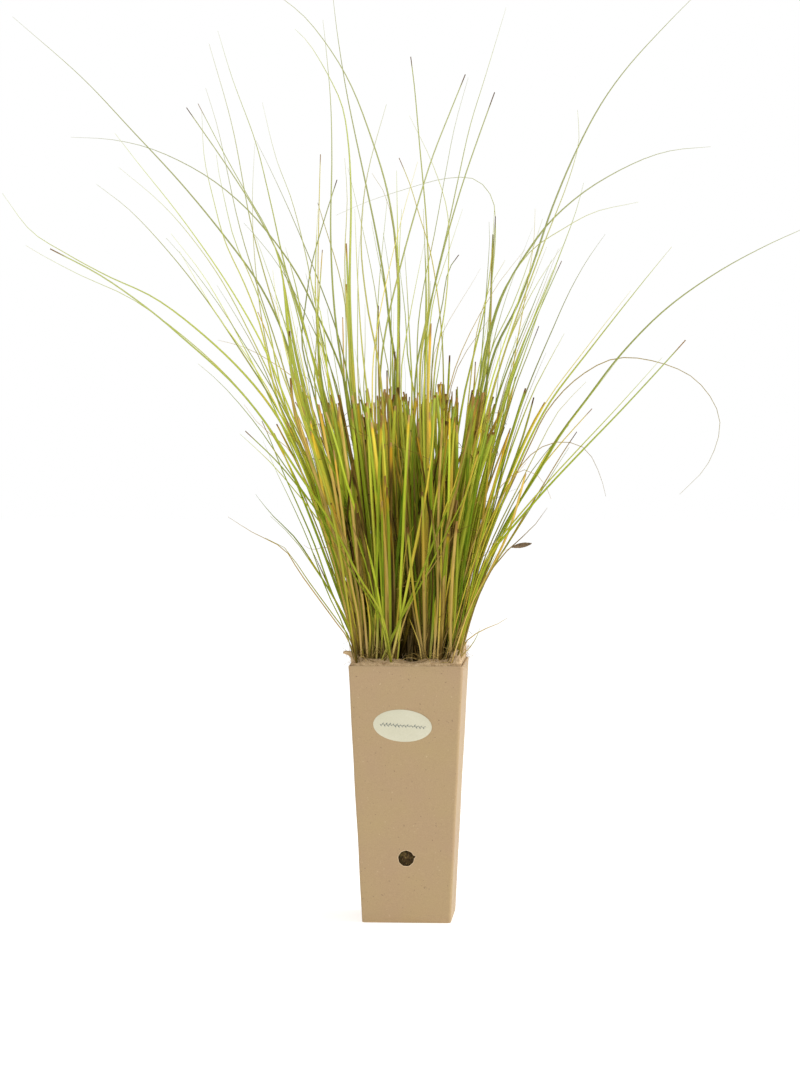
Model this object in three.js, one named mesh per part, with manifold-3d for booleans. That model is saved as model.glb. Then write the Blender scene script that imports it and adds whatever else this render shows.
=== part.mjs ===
// A tuft of sedge in a tapered square carton: two clumps of sheared shoots with long
// arching leaves, standing in a root ball that is wrapped in felt. Millimetres, +Z up,
// origin at the middle of the carton's underside, -Y is the front with the label.
import * as THREE from 'three';
import { mergeVertices } from 'three/addons/utils/BufferGeometryUtils.js';
import Module from 'manifold-3d';

const wasm = await Module();
wasm.setup();

// ---------- driving dimensions ----------
const MOUTH = 90;              // outer side of the carton at the rim
const FOOT = 70;               // outer side at the underside
const HEIGHT = 203;            // height of the carton
const BOARD = 1.5;             // card thickness
const FOLD_RADIUS = 2.5;       // outer radius of the folded corners
const GAP = 0.3;               // clearance between touching pieces
const HOLE = { diameter: 12.4, height: 51.2 };
const LABEL = { width: 46, height: 25.4, thickness: 0.3, x: -2.5, z: 156.3, turnDeg: -3.5 };
const LINER = { thickness: 2.2, bottom: 75, top: 208, lean: 0.35 };
const LINER_WAVES = [{ height: 2.2, count: 3, phase: 0.6 }, { height: 1.4, count: 7, phase: 0 }];
const LINER_CORNER = { x: 38, y: 38, rise: 7, reach: 11.4 };  // where the felt stands highest
const SOIL_TOP = 200;          // top of the root ball
const CUT_LEVEL = 412;         // height at which the tuft was sheared
const CUT_SPREAD = 11;         // how far the sheared tips miss that height
const SPREAD_UNIT = 209;       // rise over which the tuft opens to its sheared width
const OPENING = { first: 1.05, second: 0.6, beyond: 2.25 };  // how the tuft fans out
const BLADE = { width: 2.3, cutWidth: 1.73, thickness: 0.55 };
const LONG_BLADE = { width: 1.95, tip: 0.7 };
const SHEATH = { height: 12, radius: 3.7, topRadius: 2.6, sides: 6 };
const LONG_SHEATH = { margin: 1.4, wall: 0.8, taper: 0.8 };
const SHOOT = { leaves: 8, scatter: 2.8, nearest: 0.75, heart: 0.4, jitter: 0.3, turn: 0.9 };
const SHORT_LEAF = { every: 3, least: 8, most: 26 };  // every third leaf ends below the cut
const CLUMP_COLUMNS = { left: [-36, -24.5, -13], right: [14, 25, 36] };
const CLUMP_ROWS = [-27, -9, 9, 27];
const LANE_STEP = 2;           // depth between neighbouring long leaves of one lane

// The long leaves are outlined on the middle plane as they are seen from this point,
// and each is then moved to its own depth along the line of sight.
const STATION = new THREE.Vector3(194, -2994, 472);

const FINISHES = {
  board: { color: '#b69b78', roughness: 0.85, metalness: 0 },
  paper: { color: '#dcd8c0', roughness: 0.6, metalness: 0 },
  felt: { color: '#a8875c', roughness: 0.95, metalness: 0 },
  compost: { color: '#3a2a18', roughness: 0.95, metalness: 0 },
  shearedLeaf: { color: '#8fa63a', roughness: 0.5, metalness: 0 },
  longLeaf: { color: '#8c965a', roughness: 0.5, metalness: 0 },
  seedHead: { color: '#6b5138', roughness: 0.8, metalness: 0 },
};

// ---------- long leaves ----------
// lane: depth of the leaf's foot. Each leaf runs from its foot on the root ball to its
// tip as [x, z] pairs; leaves of one entry share a sheath.
const LONG_LEAVES = {
  left_leaf_sweeping: { lane: -39, leaves: [
    [[-10, 201], [-22, 240], [-40, 270], [-60, 309], [-92, 358], [-115, 393], [-140, 423], [-180, 459],
      [-205, 480], [-245, 508], [-285, 529]]] },
  left_leaves_low: { lane: -39, leaves: [
    [[-37, 201], [-46, 225], [-58, 250], [-72, 273], [-90, 300], [-110, 320], [-122, 335]],
    [[-38, 201], [-48, 219], [-60, 236], [-87, 273], [-99, 291], [-125, 305], [-144, 317]]] },
  left_leaves_cut: { lane: -34, leaves: [
    [[-35, 201], [-48, 228], [-62, 258], [-76, 297], [-88, 325], [-100, 352], [-112, 382], [-117, 393]],
    [[-32, 201], [-46, 260], [-65, 310], [-85, 337], [-105, 361], [-130, 385]]] },
  left_leaves_outer: { lane: -21, leaves: [
    [[-34, 201], [-50, 255], [-70, 325], [-90, 375], [-110, 412], [-135, 451], [-160, 488], [-190, 526],
      [-222, 560], [-248, 580]],
    [[-36, 201], [-55, 270], [-75, 340], [-102, 410], [-120, 449], [-150, 506], [-180, 547], [-200, 568],
      [-230, 593]],
    [[-32, 201], [-52, 280], [-75, 355], [-98, 410], [-115, 451], [-143, 500], [-180, 553], [-215, 597],
      [-233, 620]],
    [[-30, 201], [-42, 280], [-60, 350], [-85, 420], [-108, 439], [-130, 451], [-152, 457]]] },
  left_leaf_widest: { lane: -3, leaves: [
    [[-38, 201], [-52, 255], [-70, 322], [-95, 380], [-113, 409], [-140, 440], [-180, 475], [-205, 492],
      [-240, 508], [-275, 527], [-300, 543], [-323, 573]]] },
  left_leaf_arching: { lane: -1, leaves: [
    [[-20, 201], [-30, 280], [-40, 360], [-52, 428], [-73, 478], [-88, 508], [-102, 529], [-128, 560],
      [-160, 586], [-202, 607], [-235, 615], [-268, 617]]] },
  left_leaves_upright: { lane: 1, leaves: [
    [[-35, 201], [-60, 290], [-85, 360], [-105, 412], [-118, 468], [-130, 500], [-146, 535], [-155, 568],
      [-162, 600], [-164, 638]],
    [[-33, 201], [-58, 290], [-82, 370], [-102, 412], [-116, 468], [-123, 530], [-124, 570],
      [-122, 612]]] },
  left_leaf_longest: { lane: 15, leaves: [
    [[-24, 201], [-45, 270], [-68, 350], [-88, 425], [-103, 470], [-120, 503], [-147, 540], [-180, 580],
      [-220, 623], [-258, 663], [-314, 712]]] },
  left_leaves_sheared: { lane: 17, leaves: [
    [[-32, 201], [-48, 300], [-65, 390], [-83, 468], [-100, 517], [-120, 556], [-140, 588], [-176, 640]],
    [[-30, 201], [-45, 300], [-63, 385], [-80, 440], [-92, 490], [-111, 541], [-128, 571], [-146, 603],
      [-167, 643]]] },
  left_leaves_crossing: { lane: 20, leaves: [
    [[-37, 201], [-55, 320], [-75, 412], [-85, 455], [-82, 485], [-77, 517], [-67, 552], [-57, 583]],
    [[-36, 201], [-50, 320], [-70, 415], [-72, 510], [-71, 568], [-70, 603]]] },
  left_leaves_back: { lane: 33, leaves: [
    [[-25, 201], [-42, 300], [-60, 390], [-86, 475], [-98, 515], [-110, 568], [-121, 612], [-140, 664],
      [-151, 700]],
    [[-28, 201], [-58, 300], [-80, 385], [-97, 450], [-112, 500], [-125, 548], [-140, 626],
      [-158, 690]]] },
  left_leaves_fine: { lane: 37, leaves: [
    [[-22, 201], [-38, 300], [-55, 380], [-73, 480], [-83, 530], [-93, 568], [-105, 600], [-116, 644]],
    [[-20, 201], [-35, 320], [-52, 445], [-71, 502], [-92, 553], [-110, 592], [-121, 614]]] },
  middle_leaves_tallest: { lane: -3, leaves: [
    [[-7, 201], [-10, 300], [-10, 420], [-8, 500], [-16, 568], [-30, 616], [-50, 665], [-80, 708],
      [-100, 725], [-118, 737]],
    [[-5, 201], [-9, 320], [-9, 425], [-15, 465], [-19, 500], [-26, 540], [-35, 583], [-43, 620],
      [-50, 655], [-57, 700], [-61, 735]]] },
  middle_leaves_broad: { lane: 17, leaves: [
    [[-20, 201], [-32, 300], [-42, 400], [-47, 490], [-46, 570], [-48, 611], [-53, 641], [-64, 665],
      [-80, 691], [-90, 701]],
    [[-22, 201], [-36, 320], [-51, 420], [-59, 480], [-62, 540], [-61, 600], [-62, 645], [-66, 690],
      [-68, 708]]] },
  middle_leaves_leaning: { lane: -21, leaves: [
    [[-12, 201], [-18, 330], [-23, 430], [-33, 483], [-38, 530], [-36, 568], [-31, 596], [-18, 642]],
    [[-14, 201], [-22, 320], [-23, 430], [-18, 468], [-7, 515], [4, 555], [18, 600], [33, 638],
      [44, 665]]] },
  middle_leaves_sheared: { lane: -17, leaves: [
    [[10, 201], [11, 300], [9, 440], [15, 480], [15, 515], [13, 555], [8, 610], [4, 655], [1, 679]],
    [[8, 201], [5, 320], [5, 430], [11, 462], [20, 500], [31, 543], [43, 583], [54, 615], [67, 651]]] },
  middle_leaves_crossed: { lane: 15, leaves: [
    [[24, 201], [20, 330], [20, 430], [28, 480], [31, 515], [30, 558], [18, 596], [0, 633]],
    [[22, 201], [25, 320], [27, 430], [25, 470], [17, 525], [8, 555], [0, 581], [-8, 600]]] },
  middle_leaves_tall: { lane: 35, leaves: [
    [[18, 201], [17, 330], [19, 450], [26, 485], [31, 512], [39, 524]],
    [[16, 201], [13, 340], [14, 462], [20, 500], [29, 538], [39, 585], [48, 625], [60, 664],
      [76, 717]]] },
  front_leaves_crossing: { lane: -37, leaves: [
    [[-20, 201], [-12, 225], [5, 262], [22, 305], [38, 345], [48, 385], [52, 412]],
    [[-14, 201], [-6, 235], [2, 280], [12, 330], [18, 370], [20, 402]]] },
  right_leaf_looping: { lane: 39, leaves: [
    [[32, 201], [45, 300], [58, 420], [65, 500], [68, 545], [65, 569], [52, 583], [30, 584], [-8, 574],
      [-35, 565], [-58, 555]]] },
  right_leaf_broad: { lane: 35, leaves: [
    [[36, 201], [48, 300], [61, 415], [63, 455], [65, 500], [67, 535], [68, 554]]] },
  right_leaf_tallest: { lane: 33, leaves: [
    [[30, 201], [42, 300], [56, 400], [68, 450], [83, 480], [95, 510], [112, 560], [130, 603], [150, 641],
      [170, 669], [200, 702], [240, 742]]] },
  right_leaves_arching: { lane: 15, leaves: [
    [[32, 201], [42, 310], [54, 400], [66, 470], [77, 500], [92, 525], [110, 549], [140, 575], [180, 597],
      [205, 605], [236, 608]],
    [[30, 201], [38, 310], [55, 420], [70, 486], [84, 512], [98, 529], [119, 543], [145, 557],
      [180, 565]]] },
  right_leaves_fine: { lane: 19, leaves: [
    [[38, 201], [60, 300], [80, 380], [94, 421], [113, 466], [126, 495], [140, 520], [154, 540]],
    [[36, 201], [55, 320], [76, 400], [85, 455], [93, 500], [98, 535], [99, 560]]] },
  right_leaves_steep: { lane: -3, leaves: [
    [[36, 201], [52, 300], [75, 412], [88, 450], [105, 490], [120, 528], [131, 558], [137, 580]],
    [[33, 201], [48, 310], [62, 400], [80, 462], [95, 503], [108, 538], [125, 582], [133, 612],
      [132, 637]]] },
  right_leaves_sheared: { lane: 1, leaves: [
    [[34, 201], [52, 310], [78, 415], [95, 462], [110, 497], [120, 519]],
    [[37, 201], [55, 310], [82, 415], [95, 450], [102, 468]],
    [[31, 201], [45, 320], [62, 400], [75, 447], [91, 483], [103, 505], [120, 530]]] },
  right_leaf_widest: { lane: -21, leaves: [
    [[39, 201], [57, 268], [75, 310], [100, 350], [120, 384], [140, 411], [165, 444], [200, 480],
      [240, 509], [280, 531], [325, 551]]] },
  right_leaves_outer: { lane: -19, leaves: [
    [[36, 201], [54, 275], [78, 340], [98, 385], [112, 410], [140, 447], [180, 498], [206, 530]],
    [[38, 201], [56, 262], [76, 308], [98, 348], [119, 375], [144, 403]]] },
  right_leaf_bowed: { lane: -15, leaves: [
    [[33, 201], [58, 290], [84, 350], [97, 378], [108, 400], [130, 425], [160, 442], [190, 441],
      [225, 426], [244, 395], [235, 360], [213, 336]]] },
  right_leaves_spreading: { lane: -37, leaves: [
    [[37, 201], [50, 250], [66, 290], [82, 310], [109, 341], [140, 374], [165, 400], [200, 438],
      [217, 457]],
    [[39, 201], [56, 258], [82, 304], [105, 342], [122, 370], [132, 385]]] },
  right_leaves_hooked: { lane: -32.5, leaves: [
    [[32, 201], [58, 300], [84, 352], [100, 370], [118, 377], [138, 372], [150, 352], [155, 334]],
    [[30, 201], [52, 300], [76, 346], [92, 355], [105, 347], [112, 332]]] },
};

const SEED_STALK = {
  lane: -39,
  path: [[33, 201], [48, 245], [60, 268], [68, 282], [75, 291], [82, 294]],
  width: 1.2,
  tip: 0.9,
  sheath: { radius: 1.3, topRadius: 1 },
  spikelet: { from: [80, 294], to: [96, 297], radius: 2.1, sides: 8 },
};

const part = new THREE.Group();

// ---------- helpers ----------
function add(name, geometry, finish) {
  const mesh = new THREE.Mesh(geometry, new THREE.MeshStandardMaterial(finish));
  mesh.name = name;
  part.add(mesh);
  return mesh;
}

function solid(geometry) {
  const bare = geometry.clone();
  bare.deleteAttribute('normal');
  bare.deleteAttribute('uv');
  const merged = mergeVertices(bare, 1e-4);
  return new wasm.Manifold(new wasm.Mesh({
    numProp: 3,
    vertProperties: new Float32Array(merged.attributes.position.array),
    triVerts: new Uint32Array(merged.index.array),
  }));
}

function shell(manifold) {
  const mesh = manifold.getMesh();
  const geometry = new THREE.BufferGeometry();
  geometry.setAttribute('position', new THREE.BufferAttribute(mesh.vertProperties, 3));
  geometry.setIndex(new THREE.BufferAttribute(mesh.triVerts, 1));
  return geometry;
}

function union(solids) {
  return solids.reduce((joined, next) => joined.add(next));
}

// A straight blank of an outline, one unit deep, to be reshaped.
function blankOf(outline, steps, curveSegments = 3, depth = 1) {
  return new THREE.ExtrudeGeometry(outline, { depth, steps, curveSegments, bevelEnabled: false });
}

// An upright sheath standing on the root ball.
function sheathAt(x, y, topRadius, radius) {
  const sheath = new THREE.CylinderGeometry(topRadius, radius, SHEATH.height, SHEATH.sides);
  sheath.rotateX(Math.PI / 2);
  sheath.translate(x, y, SOIL_TOP + GAP + SHEATH.height / 2);
  return sheath;
}

// Repeatable scatter, so that every build gives the same tuft.
function scatterFrom(seed) {
  let state = seed;
  return (low, high) => {
    state = (state * 1103515245 + 12345) % 2147483648;
    return low + (high - low) * (state / 2147483648);
  };
}

// A square outline with round corners, its straight sides in a number of pieces.
function roundedSquare(side, radius, pieces = 1) {
  const half = side / 2;
  const flat = half - radius;
  const shape = new THREE.Shape();
  for (let corner = 0; corner < 4; corner += 1) {
    const turn = (corner * Math.PI) / 2;
    for (let piece = 0; piece <= pieces; piece += 1) {
      const point = new THREE.Vector2(-flat + (2 * flat * piece) / pieces, -half);
      point.rotateAround(new THREE.Vector2(), turn);
      shape[corner + piece === 0 ? 'moveTo' : 'lineTo'](point.x, point.y);
    }
    const centre = new THREE.Vector2(flat, -flat).rotateAround(new THREE.Vector2(), turn);
    shape.absarc(centre.x, centre.y, radius, turn - Math.PI / 2, turn);
  }
  return shape;
}

// Moves every vertex of a geometry by a rule.
function reshape(geometry, rule) {
  const position = geometry.attributes.position;
  const point = new THREE.Vector3();
  for (let i = 0; i < position.count; i += 1) {
    point.fromBufferAttribute(position, i);
    rule(point);
    position.setXYZ(i, point.x, point.y, point.z);
  }
  return geometry;
}

// Outer side of the carton at a height.
function sideAt(z) {
  return FOOT + (MOUTH - FOOT) * (z / HEIGHT);
}

// A block with the carton's taper, set in from its outer faces.
function taperedBlock(inset, bottom, top, steps = 1) {
  const outline = roundedSquare(1, FOLD_RADIUS / MOUTH);
  return reshape(blankOf(outline, steps), (p) => {
    const z = bottom + (top - bottom) * p.z;
    const side = sideAt(z) - 2 * inset;
    p.set(p.x * side, p.y * side, z);
  });
}

// ---------- holder ----------
function carton() {
  const overshoot = 1;
  const box = solid(taperedBlock(0, 0, HEIGHT));
  const inside = solid(taperedBlock(BOARD, BOARD, HEIGHT + overshoot));
  const punch = new THREE.CylinderGeometry(HOLE.diameter / 2, HOLE.diameter / 2, FOOT / 2, 24);
  punch.translate(0, -FOOT / 2, HOLE.height);
  return shell(box.subtract(inside).subtract(solid(punch)));
}

function label() {
  const oval = new THREE.Shape();
  oval.absellipse(0, 0, LABEL.width / 2, LABEL.height / 2, 0, Math.PI * 2);
  const plate = blankOf(oval, 1, 18, LABEL.thickness);
  const slope = Math.atan2((MOUTH - FOOT) / 2, HEIGHT);
  plate.rotateZ(THREE.MathUtils.degToRad(LABEL.turnDeg));
  plate.rotateX(Math.PI / 2 + slope);
  plate.translate(LABEL.x, -sideAt(LABEL.z) / 2 - GAP, LABEL.z);
  return plate;
}

// The felt's cut edge stands up in soft waves, highest at the back right corner.
function linerEdge(x, y) {
  const around = Math.atan2(y, x);
  const waves = LINER_WAVES.map((wave) => wave.height * Math.sin(wave.count * around + wave.phase));
  const away = Math.hypot(x - LINER_CORNER.x, y - LINER_CORNER.y) / LINER_CORNER.reach;
  return LINER.top + waves[0] + waves[1] + LINER_CORNER.rise * Math.exp(-(away ** 2) / 2);
}

// A tapered sleeve in two lifts: straight along the wall, then leaning out to its edge.
function sleeve(inset, overshoot) {
  const outline = roundedSquare(1, FOLD_RADIUS / MOUTH, 10);
  return reshape(blankOf(outline, 2), (p) => {
    const edge = linerEdge(p.x * MOUTH, p.y * MOUTH) + overshoot;
    const z = [LINER.bottom - overshoot, HEIGHT, edge][Math.round(p.z * 2)];
    const side = sideAt(z) - 2 * inset + 2 * LINER.lean * Math.max(0, z - HEIGHT);
    p.set(p.x * side, p.y * side, z);
  });
}

function liner() {
  const overshoot = 2;
  const outside = solid(sleeve(BOARD + GAP, 0));
  const inside = solid(sleeve(BOARD + GAP + LINER.thickness, overshoot));
  return shell(outside.subtract(inside));
}

function rootBall() {
  return taperedBlock(BOARD + 2 * GAP + LINER.thickness, BOARD + GAP, SOIL_TOP, 2);
}

// ---------- leaves ----------
// How far the tuft has opened at a rise above the root ball, as a factor on the foot.
function opening(rise) {
  const s = rise / SPREAD_UNIT;
  if (s <= 1) {
    return 1 + OPENING.first * s + OPENING.second * s * s;
  }
  return 1 + OPENING.first + OPENING.second + OPENING.beyond * (s - 1);
}

// A straight blank with a three-sided section, laid along a curve and tapered.
// The section's broad side is turned about the curve by twist, from facing the front.
function blade(curve, steps, width, tip, twist = 0) {
  const section = new THREE.Shape();
  section.moveTo(-0.5, 0);
  section.lineTo(0.5, 0);
  section.lineTo(0, 1);
  section.closePath();
  const front = new THREE.Vector3(0, 1, 0);
  return reshape(blankOf(section, steps), (p) => {
    const centre = curve.getPoint(p.z);
    const along = curve.getTangent(p.z);
    const side = new THREE.Vector3().crossVectors(front, along).normalize();
    side.applyAxisAngle(along, twist);
    const lift = new THREE.Vector3().crossVectors(along, side);
    const breadth = p.x * THREE.MathUtils.lerp(width, tip, p.z ** 2);
    const height = (p.y - 1 / 3) * BLADE.thickness;
    p.copy(centre).addScaledVector(side, breadth).addScaledVector(lift, height);
  });
}

// A sheared shoot: a short sheath and a tuft of leaves that follow the tuft's fan.
function shoot(x, y, random) {
  const parts = [solid(sheathAt(x, y, SHEATH.topRadius, SHEATH.radius))];
  for (let leaf = 0; leaf < SHOOT.leaves; leaf += 1) {
    const angle = (leaf / SHOOT.leaves) * Math.PI * 2 + random(-SHOOT.jitter, SHOOT.jitter);
    const inner = leaf % 4 === 0;
    const reach = inner ? SHOOT.heart : random(SHOOT.nearest, 1) * SHOOT.scatter;
    const foot = new THREE.Vector2(x + reach * Math.cos(angle), y + reach * Math.sin(angle));
    const full = CUT_LEVEL + random(-CUT_SPREAD, CUT_SPREAD);
    const isShort = leaf % SHORT_LEAF.every === SHORT_LEAF.every - 1;
    const top = isShort ? full - random(SHORT_LEAF.least, SHORT_LEAF.most) : full;
    const bottom = SOIL_TOP + 2;
    const points = [0, 1 / 3, 2 / 3, 1].map((share) => {
      const z = bottom + (top - bottom) * share;
      const factor = opening(z - SOIL_TOP);
      return new THREE.Vector3(foot.x * factor, foot.y * factor, z);
    });
    const curve = new THREE.CatmullRomCurve3(points);
    const twist = random(-SHOOT.turn, SHOOT.turn);
    parts.push(solid(blade(curve, 3, BLADE.width, BLADE.cutWidth, twist)));
  }
  return shell(union(parts));
}

// Carries an outline on the middle plane to a depth that grows with the tuft's fan.
function runAtDepth(outline, lane) {
  let rise = 0;
  return outline.map(([x, z], index) => {
    if (index > 0) {
      const [fromX, fromZ] = outline[index - 1];
      rise += z <= CUT_LEVEL && z > fromZ ? z - fromZ : Math.hypot(x - fromX, z - fromZ);
    }
    const y = lane * opening(rise);
    const share = (y - STATION.y) / -STATION.y;
    return new THREE.Vector3(
      STATION.x + (x - STATION.x) * share,
      y,
      STATION.z + (z - STATION.z) * share,
    );
  });
}

// The outline's foot is pinned on the root ball, whatever its depth.
function standOnSoil(points, footX) {
  points[0].set(footX, points[0].y, SOIL_TOP + GAP + 1);
  return points;
}

function longLeaves({ lane, leaves }) {
  const feet = leaves.map((outline) => outline[0][0]);
  const middle = (Math.min(...feet) + Math.max(...feet)) / 2;
  const halfWidth = (Math.max(...feet) - Math.min(...feet)) / 2 + LONG_SHEATH.margin;
  const halfDepth = ((leaves.length - 1) * LANE_STEP) / 2;
  const sheath = sheathAt(0, 0, LONG_SHEATH.taper, 1);
  sheath.scale(halfWidth, halfDepth + LONG_SHEATH.wall, 1);
  sheath.translate(middle, lane + halfDepth, 0);
  const parts = [solid(sheath)];
  leaves.forEach((outline, index) => {
    const points = standOnSoil(runAtDepth(outline, lane + index * LANE_STEP), outline[0][0]);
    const curve = new THREE.CatmullRomCurve3(points, false, 'centripetal');
    parts.push(solid(blade(curve, points.length + 2, LONG_BLADE.width, LONG_BLADE.tip)));
  });
  return shell(union(parts));
}

function seedStalk() {
  const { lane, path, width, tip, sheath, spikelet } = SEED_STALK;
  const points = standOnSoil(runAtDepth(path, lane), path[0][0]);
  const curve = new THREE.CatmullRomCurve3(points, false, 'centripetal');
  const stalk = solid(blade(curve, 8, width, tip));
  const base = solid(sheathAt(path[0][0], lane, sheath.topRadius, sheath.radius));
  const end = points[points.length - 1];
  const [fromX, fromZ] = spikelet.from;
  const [toX, toZ] = spikelet.to;
  const length = Math.hypot(toX - fromX, toZ - fromZ);
  const head = new THREE.SphereGeometry(1, spikelet.sides, spikelet.sides);
  head.scale(length / 2, spikelet.radius, spikelet.radius);
  head.rotateY(-Math.atan2(toZ - fromZ, toX - fromX));
  head.translate(end.x + (toX - fromX) / 2 - 1, end.y, end.z + (toZ - fromZ) / 2);
  return shell(union([base, stalk, solid(head)]));
}

// ---------- assembly ----------
add('carton', carton(), FINISHES.board);
add('label', label(), FINISHES.paper);
add('liner', liner(), FINISHES.felt);
add('root_ball', rootBall(), FINISHES.compost);

const random = scatterFrom(41);
Object.entries(CLUMP_COLUMNS).forEach(([clump, columns]) => {
  columns.forEach((x, column) => {
    CLUMP_ROWS.forEach((y, row) => {
      const number = column * CLUMP_ROWS.length + row + 1;
      add(`${clump}_shoot_${number}`, shoot(x, y, random), FINISHES.shearedLeaf);
    });
  });
});

Object.entries(LONG_LEAVES).forEach(([name, group]) => {
  add(name, longLeaves(group), FINISHES.longLeaf);
});

add('seed_stalk', seedStalk(), FINISHES.seedHead);

export default part;
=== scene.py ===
# %% [markdown]
# # A tuft of sedge in a card pot
# The real thing is a tapered square pot of brown recycled card, a felt liner, a block of
# compost and a grass-like plant: two clumps of shoots that were sheared off at one level,
# and long thin leaves that arch far above the cut. This lesson rebuilds its looks around a
# frame that is already measured, so every piece is placed by the frame's own sizes.

# %% Load the frame
import math
import random

import bmesh
import bpy
import numpy as np
from mathutils import Matrix, Vector, noise


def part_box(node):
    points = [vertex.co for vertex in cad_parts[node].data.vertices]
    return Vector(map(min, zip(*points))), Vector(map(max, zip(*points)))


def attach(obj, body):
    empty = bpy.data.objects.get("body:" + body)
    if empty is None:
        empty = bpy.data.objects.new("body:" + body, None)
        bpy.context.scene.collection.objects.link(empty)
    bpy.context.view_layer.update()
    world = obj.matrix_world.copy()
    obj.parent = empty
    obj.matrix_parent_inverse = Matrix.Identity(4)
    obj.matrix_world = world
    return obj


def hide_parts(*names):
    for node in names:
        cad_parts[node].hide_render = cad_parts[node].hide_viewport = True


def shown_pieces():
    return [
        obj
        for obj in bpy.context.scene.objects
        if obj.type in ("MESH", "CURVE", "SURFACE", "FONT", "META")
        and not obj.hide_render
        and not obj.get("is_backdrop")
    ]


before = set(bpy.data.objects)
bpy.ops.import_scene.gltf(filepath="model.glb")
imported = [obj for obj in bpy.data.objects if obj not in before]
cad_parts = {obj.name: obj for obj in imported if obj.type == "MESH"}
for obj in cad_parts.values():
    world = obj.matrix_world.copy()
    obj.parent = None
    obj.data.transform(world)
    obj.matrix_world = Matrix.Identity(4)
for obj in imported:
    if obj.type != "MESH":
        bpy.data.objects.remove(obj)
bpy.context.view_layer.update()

# %% [markdown]
# ## Sizes
# Blender works in metres, while a pot is easier to think about in millimetres, so one
# constant turns one into the other. What the frame can tell is read from it; the rest are
# the sizes that the same pot is made with: board, folds, punched hole and label.

# %% Sizes of the pot and its filling
MM = 0.001
pot_low, pot_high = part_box("carton")
MOUTH = pot_high.x - pot_low.x
HEIGHT = pot_high.z
FOOT = 70 * MM
BOARD = 1.5 * MM
FOLD_RADIUS = 2.5 * MM
HOLE = {"radius": 6.2 * MM, "height": 51.2 * MM}
LABEL = {"width": 46 * MM, "height": 25.4 * MM, "thick": 0.35 * MM,
         "x": -2.5 * MM, "z": 156.3 * MM, "turn": math.radians(3.5)}
LINER_THICK = 2.2 * MM
LINER_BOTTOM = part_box("liner")[0].z
SOIL_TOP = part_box("root_ball")[1].z


def side_at(z):
    """Outer side of the tapered pot at a height."""
    return FOOT + (MOUTH - FOOT) * z / HEIGHT


print(f"pot {MOUTH / MM:.0f} mm at the mouth, {HEIGHT / MM:.0f} mm high, soil at {SOIL_TOP / MM:.0f}")

# %% [markdown]
# ## Camera
# The camera stands three metres off with a long lens, a little to the right and a little
# above the plant's middle. A long lens keeps the pot's sides nearly parallel, where a short
# one would spread them. The aim point sets what is in the middle of the frame.

# %% Camera
CAMERA_DISTANCE = 3.0
CAMERA_AZIMUTH = math.radians(3.7)
CAMERA_HEIGHT = 0.4716
AIM_ACROSS, AIM_HEIGHT = -0.0073, 0.3043
PICTURE_HEIGHT_PX, FOCAL_PX, SENSOR = 1067, 3802.5, 36

right = Vector((math.cos(CAMERA_AZIMUTH), math.sin(CAMERA_AZIMUTH), 0))
camera_data = bpy.data.cameras.new("camera")
camera_data.sensor_fit = "AUTO"
camera_data.sensor_width = SENSOR
camera_data.lens = FOCAL_PX / PICTURE_HEIGHT_PX * SENSOR
camera_data.clip_end = 50
camera = bpy.data.objects.new("camera", camera_data)
bpy.context.scene.collection.objects.link(camera)
camera.location = (CAMERA_DISTANCE * math.sin(CAMERA_AZIMUTH),
                   -CAMERA_DISTANCE * math.cos(CAMERA_AZIMUTH), CAMERA_HEIGHT)
aim = right * AIM_ACROSS + Vector((0, 0, AIM_HEIGHT))
camera.rotation_euler = (aim - camera.location).to_track_quat("-Z", "Y").to_euler()
bpy.context.scene.camera = camera
print("camera at", tuple(round(v, 3) for v in camera.location), "lens", round(camera_data.lens, 1))

# %% [markdown]
# ## Light and floor
# A white floor and a white surround give the soft even light of a small studio. The surround
# looks pure white to the camera but shines less than that, so that it doesn't wash out the
# colours. One lamp at the right makes the pot's narrow right wall brighter than its front,
# which tells the eye that the pot has corners. A wider, weaker one lights it from the front.

# %% Lamps
def add_lamp(name, place, target, size, power):
    """A square area lamp that looks at a point; size in metres, power in watts."""
    data = bpy.data.lights.new(name, "AREA")
    data.size = size
    data.energy = power
    lamp = bpy.data.objects.new(name, data)
    bpy.context.scene.collection.objects.link(lamp)
    lamp.location = place
    lamp.rotation_euler = (Vector(target) - Vector(place)).to_track_quat("-Z", "Y").to_euler()


PLANT_MIDDLE = (0, 0, 0.35)
add_lamp("right lamp", (2.5, 0.2, 1.3), PLANT_MIDDLE, size=1.0, power=50)
add_lamp("front lamp", (-0.5, -2.7, 1.9), PLANT_MIDDLE, size=1.6, power=24)

# %% Surround and floor
SURROUND_LIGHT = 0.6   # strength of the surround on the object
SURROUND_SEEN = 1.0    # and as the camera sees it
world = bpy.data.worlds.new("studio")
bpy.context.scene.world = world
world.use_nodes = True
sky = world.node_tree
seen = sky.nodes.new("ShaderNodeLightPath")
level = sky.nodes.new("ShaderNodeMapRange")
level.inputs["To Min"].default_value = SURROUND_LIGHT
level.inputs["To Max"].default_value = SURROUND_SEEN
sky.links.new(seen.outputs["Is Camera Ray"], level.inputs["Value"])
sky.links.new(level.outputs["Result"], sky.nodes["Background"].inputs["Strength"])
sky.nodes["Background"].inputs["Color"].default_value = (1, 1, 1, 1)
bpy.context.scene.view_settings.view_transform = "Standard"

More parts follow.
